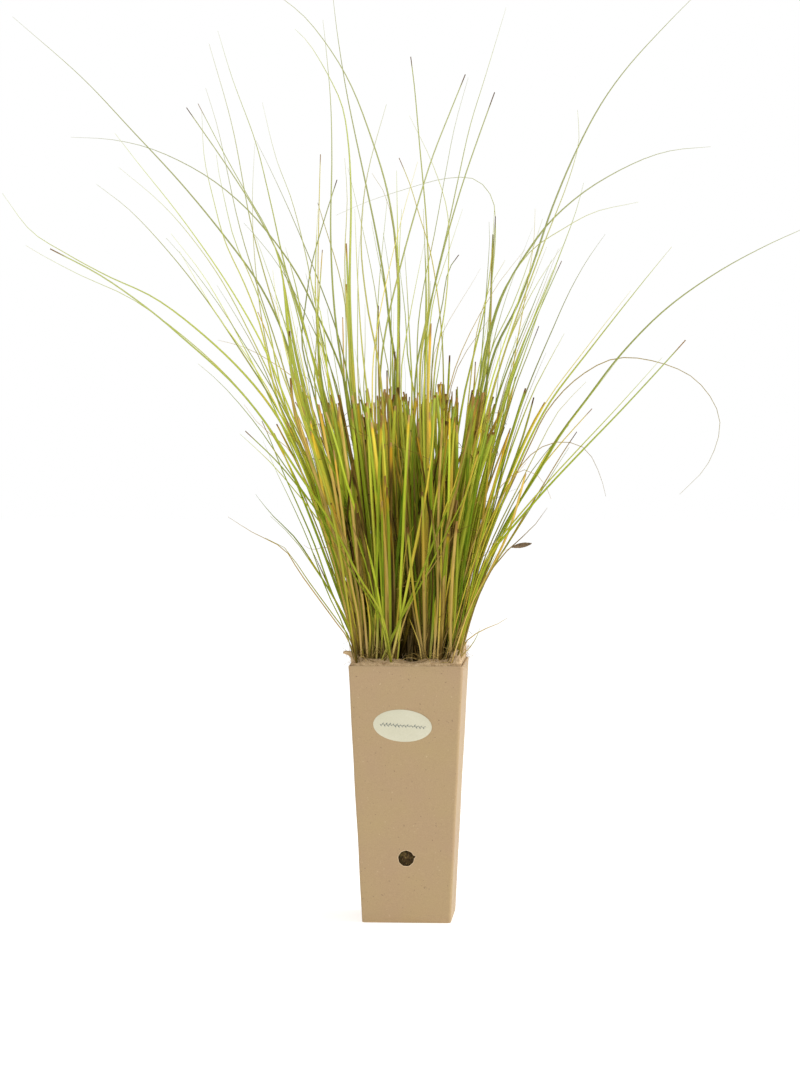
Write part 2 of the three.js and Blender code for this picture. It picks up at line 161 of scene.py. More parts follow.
FLOOR_SIZE = 12
FLOOR_DROP = 0.0002
floor_mesh = bpy.data.meshes.new("floor")
reach = FLOOR_SIZE / 2
floor_corners = [(-reach, -reach, 0), (reach, -reach, 0), (reach, reach, 0), (-reach, reach, 0)]
floor_mesh.from_pydata(floor_corners, [], [(0, 1, 2, 3)])
floor = bpy.data.objects.new("floor", floor_mesh)
floor.location.z = -FLOOR_DROP
bpy.context.scene.collection.objects.link(floor)
floor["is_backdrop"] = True
print(f"floor {FLOOR_SIZE} m wide, surround at {SURROUND_LIGHT} of full strength")

# %% [markdown]
# ## Node helpers
# Materials and Geometry Nodes trees are both graphs of nodes. Writing every link by hand
# hides the idea, so one helper adds a node, takes its settings as keywords, and either links
# an input or fills it in, whichever it is given.

# %% Helpers for any node tree
def feed(tree, socket, value):
    """Links a socket to another node's output, or sets its value."""
    if isinstance(value, bpy.types.NodeSocket):
        tree.links.new(value, socket)
    else:
        socket.default_value = value


def add_node(tree, kind, inputs=None, **settings):
    """A new node; the settings are its properties, the inputs numbers or other nodes' outputs."""
    made = tree.nodes.new(kind)
    for key, value in settings.items():
        setattr(made, key, value)
    for name, value in (inputs or {}).items():
        feed(tree, made.inputs[name], value)
    return made


def maths(tree, operation, *values, clamp=False):
    """A Math node's result; the values may be numbers or outputs."""
    made = add_node(tree, "ShaderNodeMath", operation=operation, use_clamp=clamp)
    for socket, value in zip(made.inputs, values):
        feed(tree, socket, value)
    return made.outputs[0]


def blend(tree, factor, first, second, mode="MIX"):
    """Two colours mixed by a factor."""
    made = add_node(tree, "ShaderNodeMix", data_type="RGBA", blend_type=mode)
    feed(tree, made.inputs[0], factor)
    feed(tree, made.inputs[6], first)
    feed(tree, made.inputs[7], second)
    return made.outputs[2]


def fade(tree, value, start, end):
    """0 before start and 1 after end, with a soft step between; start may be above end."""
    made = add_node(tree, "ShaderNodeMapRange", {"Value": value, "From Min": start, "From Max": end},
                    interpolation_type="SMOOTHSTEP")
    return made.outputs["Result"]


# %% Helpers for materials
def srgb(red, green, blue):
    """A screen colour, 0 to 255, as the linear colour that shaders use."""
    def linear(v):
        v /= 255
        return v / 12.92 if v <= 0.04045 else ((v + 0.055) / 1.055) ** 2.4
    return (linear(red), linear(green), linear(blue), 1.0)


def start_material(name, roughness, specular=0.5):
    """A new material, its node tree and its shader."""
    made = bpy.data.materials.new(name)
    made.use_nodes = True
    shader = made.node_tree.nodes["Principled BSDF"]
    shader.inputs["Roughness"].default_value = roughness
    shader.inputs["Specular IOR Level"].default_value = specular
    return made, made.node_tree, shader


def ramp(tree, factor, stops):
    """A colour that runs through the stops, each a place from 0 to 1 and a colour."""
    made = add_node(tree, "ShaderNodeValToRGB", {"Fac": factor})
    elements = made.color_ramp.elements
    for place, colour in stops[2:]:
        elements.new(place)
    for element, (place, colour) in zip(elements, sorted(stops, key=lambda stop: stop[0])):
        element.position = place
        element.color = colour
    return made.outputs["Color"]


def speckle(tree, where, scale, detail=2.0, roughness=0.5):
    """Soft noise from 0 to 1; a higher scale gives smaller spots, more detail finer ones in them."""
    inputs = {"Vector": where, "Scale": scale, "Detail": detail, "Roughness": roughness}
    return add_node(tree, "ShaderNodeTexNoise", inputs).outputs["Fac"]


def paint(tree, shader, colour):
    """Gives the shader its colour, whatever node the colour comes from."""
    feed(tree, shader.inputs["Base Color"], colour)


def bump(tree, shader, height, distance, strength=1.0):
    """Lets light see small relief that the mesh doesn't have; the distance is in metres."""
    made = add_node(tree, "ShaderNodeBump", {"Height": height, "Distance": distance, "Strength": strength})
    tree.links.new(made.outputs["Normal"], shader.inputs["Normal"])


def object_place(tree):
    """The place on the piece itself, so that a pattern stays where it is on the surface."""
    return add_node(tree, "ShaderNodeTexCoord").outputs["Object"]


def attribute(tree, name):
    """A number that was stored on the mesh's points under a name."""
    return add_node(tree, "ShaderNodeAttribute", attribute_name=name).outputs["Fac"]


# %% Floor finish
FLOOR_GLOW = 0.42   # a white floor that is lit from below, so that it has no horizon


def floor_material():
    """Matt white with a trace of grain, which also shines a little."""
    made, tree, shader = start_material("studio white", 0.9)
    grain = speckle(tree, object_place(tree), 40)
    paint(tree, shader, ramp(tree, grain, [(0, srgb(252, 252, 251)), (1, srgb(255, 255, 255))]))
    shader.inputs["Emission Color"].default_value = (1, 1, 1, 1)
    shader.inputs["Emission Strength"].default_value = FLOOR_GLOW
    return made


floor_mesh.materials.append(floor_material())
print("floor finish:", floor_mesh.materials[0].name)

# %% [markdown]
# ## Mesh helpers
# Two shapes come back all the time here: a ring of points round a square with soft corners,
# and a skin drawn over a row of such rings. The pot, its liner and the compost block are all
# made from them. `finish_piece` gives each piece what the frame asks for.

# %% Helpers for meshes
def rounded_square(side, radius, pieces, corner_pieces=5):
    """Points round a square with soft corners, anticlockwise from the front left."""
    half, flat = side / 2, side / 2 - radius
    ring = []
    for corner in range(4):
        turn = Matrix.Rotation(corner * math.pi / 2, 2)
        for piece in range(pieces + 1):
            ring.append(turn @ Vector((-flat + 2 * flat * piece / pieces, -half)))
        for step in range(1, corner_pieces):
            angle = -math.pi / 2 + (math.pi / 2) * step / corner_pieces
            ring.append(turn @ Vector((flat + radius * math.cos(angle), -flat + radius * math.sin(angle))))
    return ring


def skin(rings, wrap=False):
    """Faces over rings of equal length; the ends are capped, or the last ring meets the first."""
    count = len(rings[0])
    points = [point for ring in rings for point in ring]
    faces = []
    last = len(rings) if wrap else len(rings) - 1
    for row in range(last):
        lower, upper = row * count, ((row + 1) % len(rings)) * count
        for i in range(count):
            j = (i + 1) % count
            faces.append((lower + i, lower + j, upper + j, upper + i))
    if not wrap:
        faces.append(tuple(reversed(range(count))))
        faces.append(tuple(range((len(rings) - 1) * count, len(rings) * count)))
    return points, faces


def new_mesh(name, points, faces, *materials):
    """A mesh from points and faces; a face's material index counts through the materials."""
    mesh = bpy.data.meshes.new(name)
    mesh.from_pydata([tuple(point) for point in points], [], faces)
    for material in materials:
        mesh.materials.append(material)
    mesh.validate()
    return mesh


def smooth_shade(mesh, crease_degrees):
    """Smooth shading, with a crease where faces meet at more than the angle."""
    mesh.polygons.foreach_set("use_smooth", [True] * len(mesh.polygons))
    mesh.set_sharp_from_angle(angle=math.radians(crease_degrees))


def finish_piece(name, mesh, slot, *nodes):
    """Puts a finished mesh in the scene, on the plant's one body, in place of CAD nodes."""
    mesh.name = name
    piece = bpy.data.objects.new(name, mesh)
    bpy.context.scene.collection.objects.link(piece)
    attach(piece, "root")
    if nodes:
        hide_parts(*nodes)
    return piece


def wobble(x, y, z, scale, seed=0.0):
    """Smooth noise from -1 to 1, with bumps of about 1 / scale metres."""
    return noise.noise(Vector((x * scale + seed, y * scale - seed, z * scale + 2 * seed)))


print("a soft square of 1 m has", len(rounded_square(1, 0.1, 4)), "points at 4 pieces a side")

# %% [markdown]
# ## The card pot
# The pot is one sheet of recycled card folded at four corners. Its character is in small
# things: a crisp fold with a small radius, a cut rim that is paler than the face, a wall that
# isn't dead flat, and a round hole that was punched through and tore a little at one side.
# A tapered box with a Solidify modifier would be quicker, but dead straight. So rings of
# points give the walls, and a Boolean with a torn disc punches the hole.

# %% Card finish
def card_material():
    """Brown recycled card: cloudy warm patches, a few dark and pale bits, a dry matt face."""
    made, tree, shader = start_material("recycled card", 0.7)
    where = object_place(tree)
    clouds = speckle(tree, where, 24, 3)
    colour = ramp(tree, clouds, [(0.3, srgb(168, 139, 104)), (0.7, srgb(169, 144, 100))])
    fibres = speckle(tree, where, 1100, 3, 0.7)
    fibre_colour = ramp(tree, fibres, [(0.35, srgb(136, 110, 80)), (0.65, srgb(192, 168, 132))])
    colour = blend(tree, 0.16, colour, fibre_colour)
    dark_bits = fade(tree, speckle(tree, where, 480, 1), 0.72, 0.78)
    colour = blend(tree, maths(tree, "MULTIPLY", dark_bits, 0.6), colour, srgb(104, 78, 56))
    elsewhere = add_node(tree, "ShaderNodeVectorMath", {0: where, 1: (3.1, 1.7, 5.3)}).outputs["Vector"]
    pale_bits = fade(tree, speckle(tree, elsewhere, 420, 1), 0.73, 0.79)
    colour = blend(tree, maths(tree, "MULTIPLY", pale_bits, 0.4), colour, srgb(204, 182, 148))
    paint(tree, shader, colour)
    feed(tree, shader.inputs["Roughness"], maths(tree, "MULTIPLY_ADD", fibres, 0.14, 0.5))
    bump(tree, shader, fibres, 0.00008, 0.4)
    return made


def cut_card_material():
    """The pale layered edge of cut card."""
    made, tree, shader = start_material("cut card edge", 0.9)
    stretched = add_node(tree, "ShaderNodeMapping", {"Vector": object_place(tree), "Scale": (3, 3, 0.4)})
    layers = speckle(tree, stretched.outputs["Vector"], 900, 2)
    paint(tree, shader, ramp(tree, layers, [(0.3, srgb(186, 160, 124)), (0.7, srgb(214, 192, 156))]))
    bump(tree, shader, layers, 0.0001, 0.6)
    return made


recycled_card = card_material()
cut_card = cut_card_material()
print("card finish:", len(recycled_card.node_tree.nodes), "nodes")

# %% Walls of the pot
WALL_ROWS = 34
WALL_PIECES = 22
WALL_BOW = 0.35 * MM
RIM_WAVE = 0.35 * MM
EDGE_ROUND = 0.5 * MM
LEAST_RADIUS = 0.6 * MM


def pot_ring(inset, z):
    """One ring of the pot's wall, a little bowed and a little wavy at the rim."""
    ring = []
    high = max(0, z / HEIGHT)
    for point in rounded_square(side_at(z) - 2 * inset, max(FOLD_RADIUS - inset, LEAST_RADIUS), WALL_PIECES):
        sway = wobble(point.x, point.y, z, 24) * WALL_BOW * min(1, high * 4)
        outward = point.normalized() * sway
        lift = wobble(point.x, point.y, 0, 45, 3.0) * RIM_WAVE * high ** 12
        ring.append(Vector((point.x + outward.x, point.y + outward.y, z + lift)))
    return ring


rows = range(1, WALL_ROWS + 1)
rings = [pot_ring(EDGE_ROUND, 0), pot_ring(EDGE_ROUND * 0.3, EDGE_ROUND * 0.3), pot_ring(0, EDGE_ROUND)]
rings += [pot_ring(0, EDGE_ROUND + (HEIGHT - 2 * EDGE_ROUND) * row / WALL_ROWS) for row in rows]
# over the cut rim: inset from the outer face, drop below the top
rings += [pot_ring(inset, HEIGHT - drop) for inset, drop in (
    (0.15 * MM, 0.1 * MM), (0.4 * MM, 0), (BOARD - 0.4 * MM, 0), (BOARD - 0.1 * MM, 0.15 * MM))]
rings += [pot_ring(BOARD, HEIGHT - (HEIGHT - BOARD) * row / WALL_ROWS) for row in rows]
pot_points, pot_faces = skin(rings)
pot_mesh = new_mesh("pot", pot_points, pot_faces, recycled_card, cut_card)
print("pot walls:", len(pot_faces), "faces")

# %% Punch the hole
TEAR = {"angle": math.radians(12), "reach": 1.6 * MM, "half": math.radians(11)}
RAGGED = {"height": 0.08 * MM, "waves": 9}
HOLE_POINTS = 64
PUNCH_STROKE = 5 * MM   # how far the punch stands out on both sides of the wall


def torn_circle(y):
    """The punch's outline, with a nick where the card tore."""
    ring = []
    for step in range(HOLE_POINTS):
        angle = 2 * math.pi * step / HOLE_POINTS
        away = abs((angle - TEAR["angle"] + math.pi) % (2 * math.pi) - math.pi) / TEAR["half"]
        ragged = RAGGED["height"] * math.sin(RAGGED["waves"] * angle)
        radius = HOLE["radius"] + max(0, 1 - away) * TEAR["reach"] + ragged
        ring.append(Vector((radius * math.cos(angle), y, HOLE["height"] + radius * math.sin(angle))))
    return ring


front_face = -side_at(HOLE["height"]) / 2
punch_shape = skin([torn_circle(front_face + PUNCH_STROKE), torn_circle(front_face - PUNCH_STROKE)])
punch = bpy.data.objects.new("punch", new_mesh("punch", *punch_shape))
blank = bpy.data.objects.new("pot blank", pot_mesh)
for made in (punch, blank):
    bpy.context.scene.collection.objects.link(made)
cutter = blank.modifiers.new("punch", "BOOLEAN")
cutter.operation = "DIFFERENCE"
cutter.solver = "EXACT"
cutter.object = punch
pot_mesh = bpy.data.meshes.new_from_object(blank.evaluated_get(bpy.context.evaluated_depsgraph_get()))
for made in (punch, blank):
    bpy.data.objects.remove(made)
print("punched pot:", len(pot_mesh.polygons), "faces")

# %% The frayed edge of the hole
FRAY = {"width": 0.55 * MM, "proud": 0.14 * MM, "deep": 0.5 * MM}


def fray_ring(wider, out):
    """The hole's outline made wider, and standing out from the sloping wall."""
    ring = []
    for point in torn_circle(front_face):
        away = Vector((point.x, 0, point.z - HOLE["height"]))
        moved = point + away.normalized() * wider
        slope = (moved.z - HOLE["height"]) * (MOUTH - FOOT) / 2 / HEIGHT
        ring.append(Vector((moved.x, moved.y - out - slope, moved.z)))
    return ring


fray_profile = [
    (0, -FRAY["deep"]), (0, FRAY["proud"] * 0.6),
    (FRAY["width"] * 0.35, FRAY["proud"]), (FRAY["width"] * 0.8, FRAY["proud"] * 0.5),
    (FRAY["width"], -0.1 * MM), (FRAY["width"] * 0.7, -FRAY["deep"])]
fray_rings = [fray_ring(wider, out) for wider, out in fray_profile]
fray_mesh = new_mesh("fray", *skin(fray_rings, wrap=True), cut_card)
smooth_shade(fray_mesh, 60)
finish_piece("punched_edge", fray_mesh, "card")
print("punched edge:", len(fray_mesh.polygons), "faces")

# %% Give the cut edges their own finish
CARD_FACE, CUT_EDGE = 0, 1
for face in pot_mesh.polygons:
    middle = face.center
    in_hole = (math.hypot(middle.x, middle.z - HOLE["height"]) < HOLE["radius"] + TEAR["reach"]
               and middle.y < 0 and abs(face.normal.y) < 0.5)
    on_rim = middle.z > HEIGHT - 0.3 * MM and face.normal.z > 0.6
    face.material_index = CUT_EDGE if in_hole or on_rim else CARD_FACE
smooth_shade(pot_mesh, 35)
finish_piece("card_pot", pot_mesh, "card", "carton")
print("pot:", len(pot_mesh.polygons), "faces")

# %% [markdown]
# ## The label
# A small oval of uncoated cream paper is glued on a few degrees off level, with a thin line
# of print across it, here a plain sprig. A flat disc would do from afar. Paper has a soft
# edge, though, so the oval is built from rings that round over at the rim.

# %% A frame of reference on the front wall
WALL_SLOPE = math.atan2((MOUTH - FOOT) / 2, HEIGHT)


def on_front_wall(across, up, out):
    """A point in the label's own directions, laid on the sloping front wall."""
    flat = Vector((across * math.cos(LABEL["turn"]) + up * math.sin(LABEL["turn"]),
                   up * math.cos(LABEL["turn"]) - across * math.sin(LABEL["turn"])))
    base = Vector((LABEL["x"], -side_at(LABEL["z"]) / 2, LABEL["z"]))
    rise = Vector((0, -math.sin(WALL_SLOPE), math.cos(WALL_SLOPE)))
    outward = Vector((0, -math.cos(WALL_SLOPE), -math.sin(WALL_SLOPE)))
    return base + Vector((flat.x, 0, 0)) + rise * flat.y + outward * out


print(f"the front wall leans out by {math.degrees(WALL_SLOPE):.1f} degrees")

# %% Paper and print finishes
def paper_material():
    """Cream paper, faintly cloudy, with fine fibres in it."""
    made, tree, shader = start_material("cream paper", 0.62)
    where = object_place(tree)
    fibres = speckle(tree, where, 900, 3, 0.6)
    clouds = speckle(tree, where, 60, 2)
    colour = ramp(tree, clouds, [(0.3, srgb(198, 194, 168)), (0.7, srgb(205, 201, 177))])
    fibre_colour = ramp(tree, fibres, [(0.3, srgb(172, 166, 138)), (0.7, srgb(220, 217, 198))])
    paint(tree, shader, blend(tree, 0.12, colour, fibre_colour))
    bump(tree, shader, fibres, 0.00005, 0.4)
    return made


def ink_material():
    """Grey ink, unevenly printed."""
    made, tree, shader = start_material("grey print", 0.7)
    worn = speckle(tree, object_place(tree), 1500, 2)
    paint(tree, shader, ramp(tree, worn, [(0.35, srgb(98, 104, 100)), (0.75, srgb(140, 145, 136))]))
    return made


cream_paper = paper_material()
grey_print = ink_material()
print("label finishes:", cream_paper.name, "and", grey_print.name)

# %% The oval
LABEL_POINTS = 72
LABEL_SUNK = 0.05 * MM


def oval_ring(shrink, out):
    """The label's outline made smaller, at a height over the wall."""
    half_width, half_height = LABEL["width"] / 2 - shrink, LABEL["height"] / 2 - shrink
    angles = [2 * math.pi * step / LABEL_POINTS for step in range(LABEL_POINTS)]
    return [on_front_wall(half_width * math.cos(a), half_height * math.sin(a), out) for a in angles]


thick = LABEL["thick"]
label_profile = [(0.1 * MM, -LABEL_SUNK), (0, thick * 0.4), (0.1 * MM, thick * 0.85),
                 (0.35 * MM, thick), (4 * MM, thick), (9 * MM, thick)]
label_rings = [oval_ring(shrink, out) for shrink, out in label_profile]
label_mesh = new_mesh("label", *skin(label_rings), cream_paper)
smooth_shade(label_mesh, 40)
finish_piece("paper_label", label_mesh, "label_paper", "label")
print("label:", len(label_mesh.polygons), "faces")

# %% [markdown]
# ## Geometry Nodes, first use: the printed sprig
# What repeats is best made by a rule. The sprig is a stem with small leaflets along it, so a
# tree takes a line of points, puts a leaflet on each, turns it up or down by turns, and makes
# the instances real. Inputs have names, so the same tree can be tried with other sizes.

# %% Helpers for Geometry Nodes
def start_geometry_tree(name, **inputs):
    """A tree with a geometry input and output and further inputs: name = (socket type, value)."""
    tree = bpy.data.node_groups.new(name, "GeometryNodeTree")
    tree.interface.new_socket("Geometry", in_out="INPUT", socket_type="NodeSocketGeometry")
    tree.interface.new_socket("Geometry", in_out="OUTPUT", socket_type="NodeSocketGeometry")
    for key, (kind, value) in inputs.items():
        socket = tree.interface.new_socket(key, in_out="INPUT", socket_type=f"NodeSocket{kind}")
        if value is not None:
            socket.default_value = value
    return tree, tree.nodes.new("NodeGroupInput").outputs, tree.nodes.new("NodeGroupOutput").inputs


def end_geometry_tree(tree, source, target, geometry):
    """Every tree ends alike: instances made real, and one material."""
    real = add_node(tree, "GeometryNodeRealizeInstances", {"Geometry": geometry})
    done = add_node(tree, "GeometryNodeSetMaterial",
                    {"Geometry": real.outputs[0], "Material": source["Material"]})
    tree.links.new(done.outputs[0], target[0])


def named(tree, name, kind="FLOAT"):
    """Reads what was stored on the points under a name."""
    reader = add_node(tree, "GeometryNodeInputNamedAttribute", {"Name": name}, data_type=kind)
    return reader.outputs["Attribute"]


def grow(tree, base, **inputs):
    """Runs a tree on a base mesh and gives back the result as a plain mesh."""
    carrier = bpy.data.objects.new("carrier", base)
    bpy.context.scene.collection.objects.link(carrier)
    modifier = carrier.modifiers.new("grow", "NODES")
    modifier.node_group = tree
    for item in tree.interface.items_tree:
        if item.item_type == "SOCKET" and item.in_out == "INPUT" and item.name in inputs:
            modifier[item.identifier] = inputs[item.name]
    grown = bpy.data.meshes.new_from_object(carrier.evaluated_get(bpy.context.evaluated_depsgraph_get()))
    bpy.data.objects.remove(carrier)
    return grown


def store(mesh, name, values, kind="FLOAT"):
    """Stores one number or vector on each point of a mesh."""
    made = mesh.attributes.new(name, kind, "POINT")
    flat = np.asarray(values, np.float32).ravel()
    made.data.foreach_set("vector" if kind == "FLOAT_VECTOR" else "value", flat)


print("tree helpers ready; every tree ends in Realize Instances and Set Material")

# %% The tree: something at every point, turned and sized by the points' own attributes
def scatter_tree(name, shape):
    """Puts a small shape on each point; `along` and `up` on the point turn it, `size` scales it."""
    tree, source, target = start_geometry_tree(name, Material=("Material", None))
    along = add_node(tree, "FunctionNodeAlignRotationToVector",
                     {"Vector": named(tree, "along", "FLOAT_VECTOR")}, axis="X")
    turned = add_node(tree, "FunctionNodeAlignRotationToVector",
                      {"Rotation": along.outputs[0], "Vector": named(tree, "up", "FLOAT_VECTOR")},
                      axis="Z", pivot_axis="X")
    shape_info = add_node(tree, "GeometryNodeObjectInfo", {"Object": shape})
    placed = add_node(tree, "GeometryNodeInstanceOnPoints",
                      {"Points": source["Geometry"], "Instance": shape_info.outputs["Geometry"],
                       "Rotation": turned.outputs[0], "Scale": named(tree, "size", "FLOAT_VECTOR")})
    end_geometry_tree(tree, source, target, placed.outputs[0])
    return tree


def point_cloud(name, points, along, up, size):
    """Loose points that carry what the scatter tree reads."""
    mesh = new_mesh(name, points, [])
    for key, vectors in (("along", along), ("up", up), ("size", size)):
        store(mesh, key, [tuple(vector) for vector in vectors], "FLOAT_VECTOR")
    return mesh


print("scatter tree: a shape for every point")

# %% A leaflet one unit long, and the sprig
def lens_shape(name, sides, thickness):
    """A flat pointed oval from 0 to 1 along X, the unit shape of leaflets and seed scales."""
    outline = [(step / sides, 0.5 * math.sin(math.pi * step / sides) ** 0.8) for step in range(1, sides)]
    loop = [(0, 0)] + [(x, -y) for x, y in outline] + [(1, 0)] + [(x, y) for x, y in reversed(outline)]
    points, faces = skin([[Vector((x, y, z)) for x, y in loop] for z in (0, thickness)])
    return bpy.data.objects.new(name, new_mesh(name, points, faces))


SPRIG = {"half": 18 * MM, "leaflets": 26, "leaflet": 2.2 * MM, "slim": 0.42, "stem": 0.3 * MM, "slant": 0.75}
PRINT_LIFT = LABEL["thick"] + 0.01 * MM
dice = random.Random(5)
origin = on_front_wall(0, 0, 0)
places, headings, sizes = [], [], []
for number in range(SPRIG["leaflets"]):
    share = (number + 0.5) / SPRIG["leaflets"]
    upward = 1 if number % 2 else -1
    length = SPRIG["leaflet"] * dice.uniform(0.5, 1.0)
    places.append(on_front_wall((2 * share - 1) * SPRIG["half"], 0, PRINT_LIFT))
    headings.append((on_front_wall(SPRIG["slant"], upward, 0) - origin).normalized())
    sizes.append((length, length * SPRIG["slim"], length))
# the stem is the same shape once more, as long as the sprig
places.append(on_front_wall(-SPRIG["half"], 0, PRINT_LIFT))
headings.append((on_front_wall(1, 0, 0) - origin).normalized())
sizes.append((2 * SPRIG["half"], SPRIG["stem"], SPRIG["leaflet"]))
outward = (on_front_wall(0, 0, 1) - origin).normalized()
sprig_cloud = point_cloud("sprig", places, headings, [outward] * len(places), sizes)
sprig_mesh = grow(scatter_tree("sprig", lens_shape("leaflet", 6, 0.06)), sprig_cloud, Material=grey_print)
finish_piece("label_print", sprig_mesh, "label_paper")
print("sprig:", len(sprig_mesh.polygons), "faces")

# %% [markdown]
# ## The root ball
# Behind the hole and between the clumps the compost shows: a dark, crumbly, moist mass of
# bark, peat and root. The block itself is rings again, roughened by noise. The crumbs are
# scattered by a Geometry Nodes tree, because thousands of small lumps can't be placed by hand.

# %% Compost finish
def compost_material():
    """Dark moist compost with paler bark bits and a hint of green."""
    made, tree, shader = start_material("compost", 0.88)
    where = object_place(tree)
    grain = speckle(tree, where, 420, 4, 0.65)
    colour = ramp(tree, grain, [(0.25, srgb(46, 32, 14)), (0.5, srgb(84, 64, 30)), (0.62, srgb(120, 98, 52)),
                                (0.8, srgb(160, 136, 84))])
    moss = fade(tree, speckle(tree, where, 150, 2), 0.55, 0.7)
    paint(tree, shader, blend(tree, maths(tree, "MULTIPLY", moss, 0.4), colour, srgb(96, 92, 36)))
    bump(tree, shader, grain, 0.0008, 0.8)
    return made


compost = compost_material()
print("compost finish:", len(compost.node_tree.nodes), "nodes")

# %% The block
BALL_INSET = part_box("root_ball")[0].x + side_at(SOIL_TOP) / 2
BALL_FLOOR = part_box("root_ball")[0].z
BALL_ROUGH = 0.6 * MM
BALL_RADIUS = 3 * MM   # of its upright edges
BALL_ROWS, BALL_PIECES = 46, 18
TOP_STEPS = 14
SOIL_DIP = 1.2 * MM
SOIL_ROUGH = 0.8 * MM


def soil_height(x, y):
    """The compost's top is uneven, and hardly ever above the frame's own block."""
    dip = SOIL_DIP * (1 + 0.5 * wobble(x, y, 0, 60, 5))
    return SOIL_TOP - dip + SOIL_ROUGH * wobble(x, y, 0, 220, 1)


def ball_ring(z):
    """One rough ring of the block's side, just inside the frame's block."""
    ring = []
    for point in rounded_square(side_at(z) - 2 * (BALL_INSET + BALL_ROUGH), BALL_RADIUS, BALL_PIECES):
        rough = BALL_ROUGH * wobble(point.x, point.y, z, 260)
        ring.append(Vector((point.x, point.y, z)) + Vector((point.x, point.y, 0)).normalized() * rough)
    return ring


ball_rise = SOIL_TOP - SOIL_DIP - BALL_FLOOR
ball_rings = [ball_ring(BALL_FLOOR + ball_rise * row / BALL_ROWS) for row in range(BALL_ROWS + 1)]
edge_ring = ball_rings[-1]
for step in range(1, TOP_STEPS + 1):
    share = 1 - 0.97 * step / TOP_STEPS
    places = [(point.x * share, point.y * share) for point in edge_ring]
    ball_rings.append([Vector((x, y, soil_height(x, y))) for x, y in places])
ball_mesh = new_mesh("root ball", *skin(ball_rings), compost)
smooth_shade(ball_mesh, 50)
finish_piece("compost_block", ball_mesh, "compost", "root_ball")
print("compost block:", len(ball_mesh.polygons), "faces")

# %% Crumbs on the top and behind the hole
CRUMBS = {"top": 1500, "hole": 160, "least": 0.35 * MM, "most": 1.5 * MM, "past_hole": 1.3}
dice = random.Random(7)


def lump_shape(name):
    """A small irregular lump: the hull of an icosahedron's twelve corners, pulled about."""
    golden = (1 + 5 ** 0.5) / 2
    corners = [(s, t * golden, 0) for s in (-1, 1) for t in (-1, 1)]
    corners += [(0, s, t * golden) for s in (-1, 1) for t in (-1, 1)]
    corners += [(t * golden, 0, s) for s in (-1, 1) for t in (-1, 1)]
    points = [Vector(c).normalized() * (0.8 + 0.35 * dice.random()) for c in corners]
    mesh = new_mesh(name, points, [])
    work = bmesh.new()
    work.from_mesh(mesh)
    bmesh.ops.convex_hull(work, input=work.verts)
    bmesh.ops.recalc_face_normals(work, faces=work.faces)
    work.to_mesh(mesh)
    work.free()
    return bpy.data.objects.new(name, mesh)


def random_direction():
    return Vector((dice.gauss(0, 1), dice.gauss(0, 1), dice.gauss(0, 1))).normalized()


crumb_points = []
reach = side_at(SOIL_TOP) / 2 - BALL_INSET - CRUMBS["most"]
for _ in range(CRUMBS["top"]):
    x, y = dice.uniform(-reach, reach), dice.uniform(-reach, reach)
    crumb_points.append(Vector((x, y, soil_height(x, y) + dice.uniform(-0.3, 0.4) * MM)))
for _ in range(CRUMBS["hole"]):
    angle, away = dice.uniform(0, 2 * math.pi), HOLE["radius"] * CRUMBS["past_hole"] * dice.random() ** 0.5
    depth = front_face + BALL_INSET + dice.uniform(-0.5, 0.6) * MM
    crumb_points.append(Vector((away * math.cos(angle), depth, HOLE["height"] + away * math.sin(angle))))
lengths = [CRUMBS["least"] + (CRUMBS["most"] - CRUMBS["least"]) * dice.random() ** 3 for _ in crumb_points]
crumb_cloud = point_cloud("crumbs", crumb_points, [random_direction() for _ in crumb_points],
                          [random_direction() for _ in crumb_points],
                          [(s, s * dice.uniform(0.5, 0.9), s * dice.uniform(0.5, 0.9)) for s in lengths])
crumb_mesh = grow(scatter_tree("crumbs", lump_shape("lump")), crumb_cloud, Material=compost)
finish_piece("compost_crumbs", crumb_mesh, "compost")
print("crumbs:", len(crumb_points), "lumps,", len(crumb_mesh.polygons), "faces")

# %% [markdown]
# ## The felt liner
# A strip of tan needle felt is wrapped round the root ball. It is a sheet, two millimetres
# thick, whose cut edge was pushed over the compost by hand: at the front it folds inward over
# the soil, near the front left corner a tongue of it sticks out over the rim, and at the back
# right corner it stands up. So the sheet follows the wall and then a fold, whose length and
# angle change round the pot. It is drawn as a skin over rings, out along one face of the felt
# and back along the other.

# %% Felt finish
def felt_material():
    """Tan needle felt: shaggy light and dark tufts, with fine threads between them."""
    made, tree, shader = start_material("tan felt", 0.95)
    where = object_place(tree)
    tufts = speckle(tree, where, 300, 5, 0.7)
    cells = add_node(tree, "ShaderNodeTexVoronoi", {"Vector": where, "Scale": 900}, feature="F1")
    colour = ramp(tree, tufts, [(0.3, srgb(112, 86, 56)), (0.42, srgb(176, 146, 106)),
                                (0.6, srgb(208, 180, 138)), (0.8, srgb(230, 208, 168))])
    threads = ramp(tree, cells.outputs["Distance"], [(0.1, srgb(236, 216, 180)), (0.7, srgb(150, 120, 84))])
    paint(tree, shader, blend(tree, 0.25, colour, threads))
    bump(tree, shader, tufts, 0.0009, 0.9)
    return made


tan_felt = felt_material()
print("felt finish:", len(tan_felt.node_tree.nodes), "nodes")

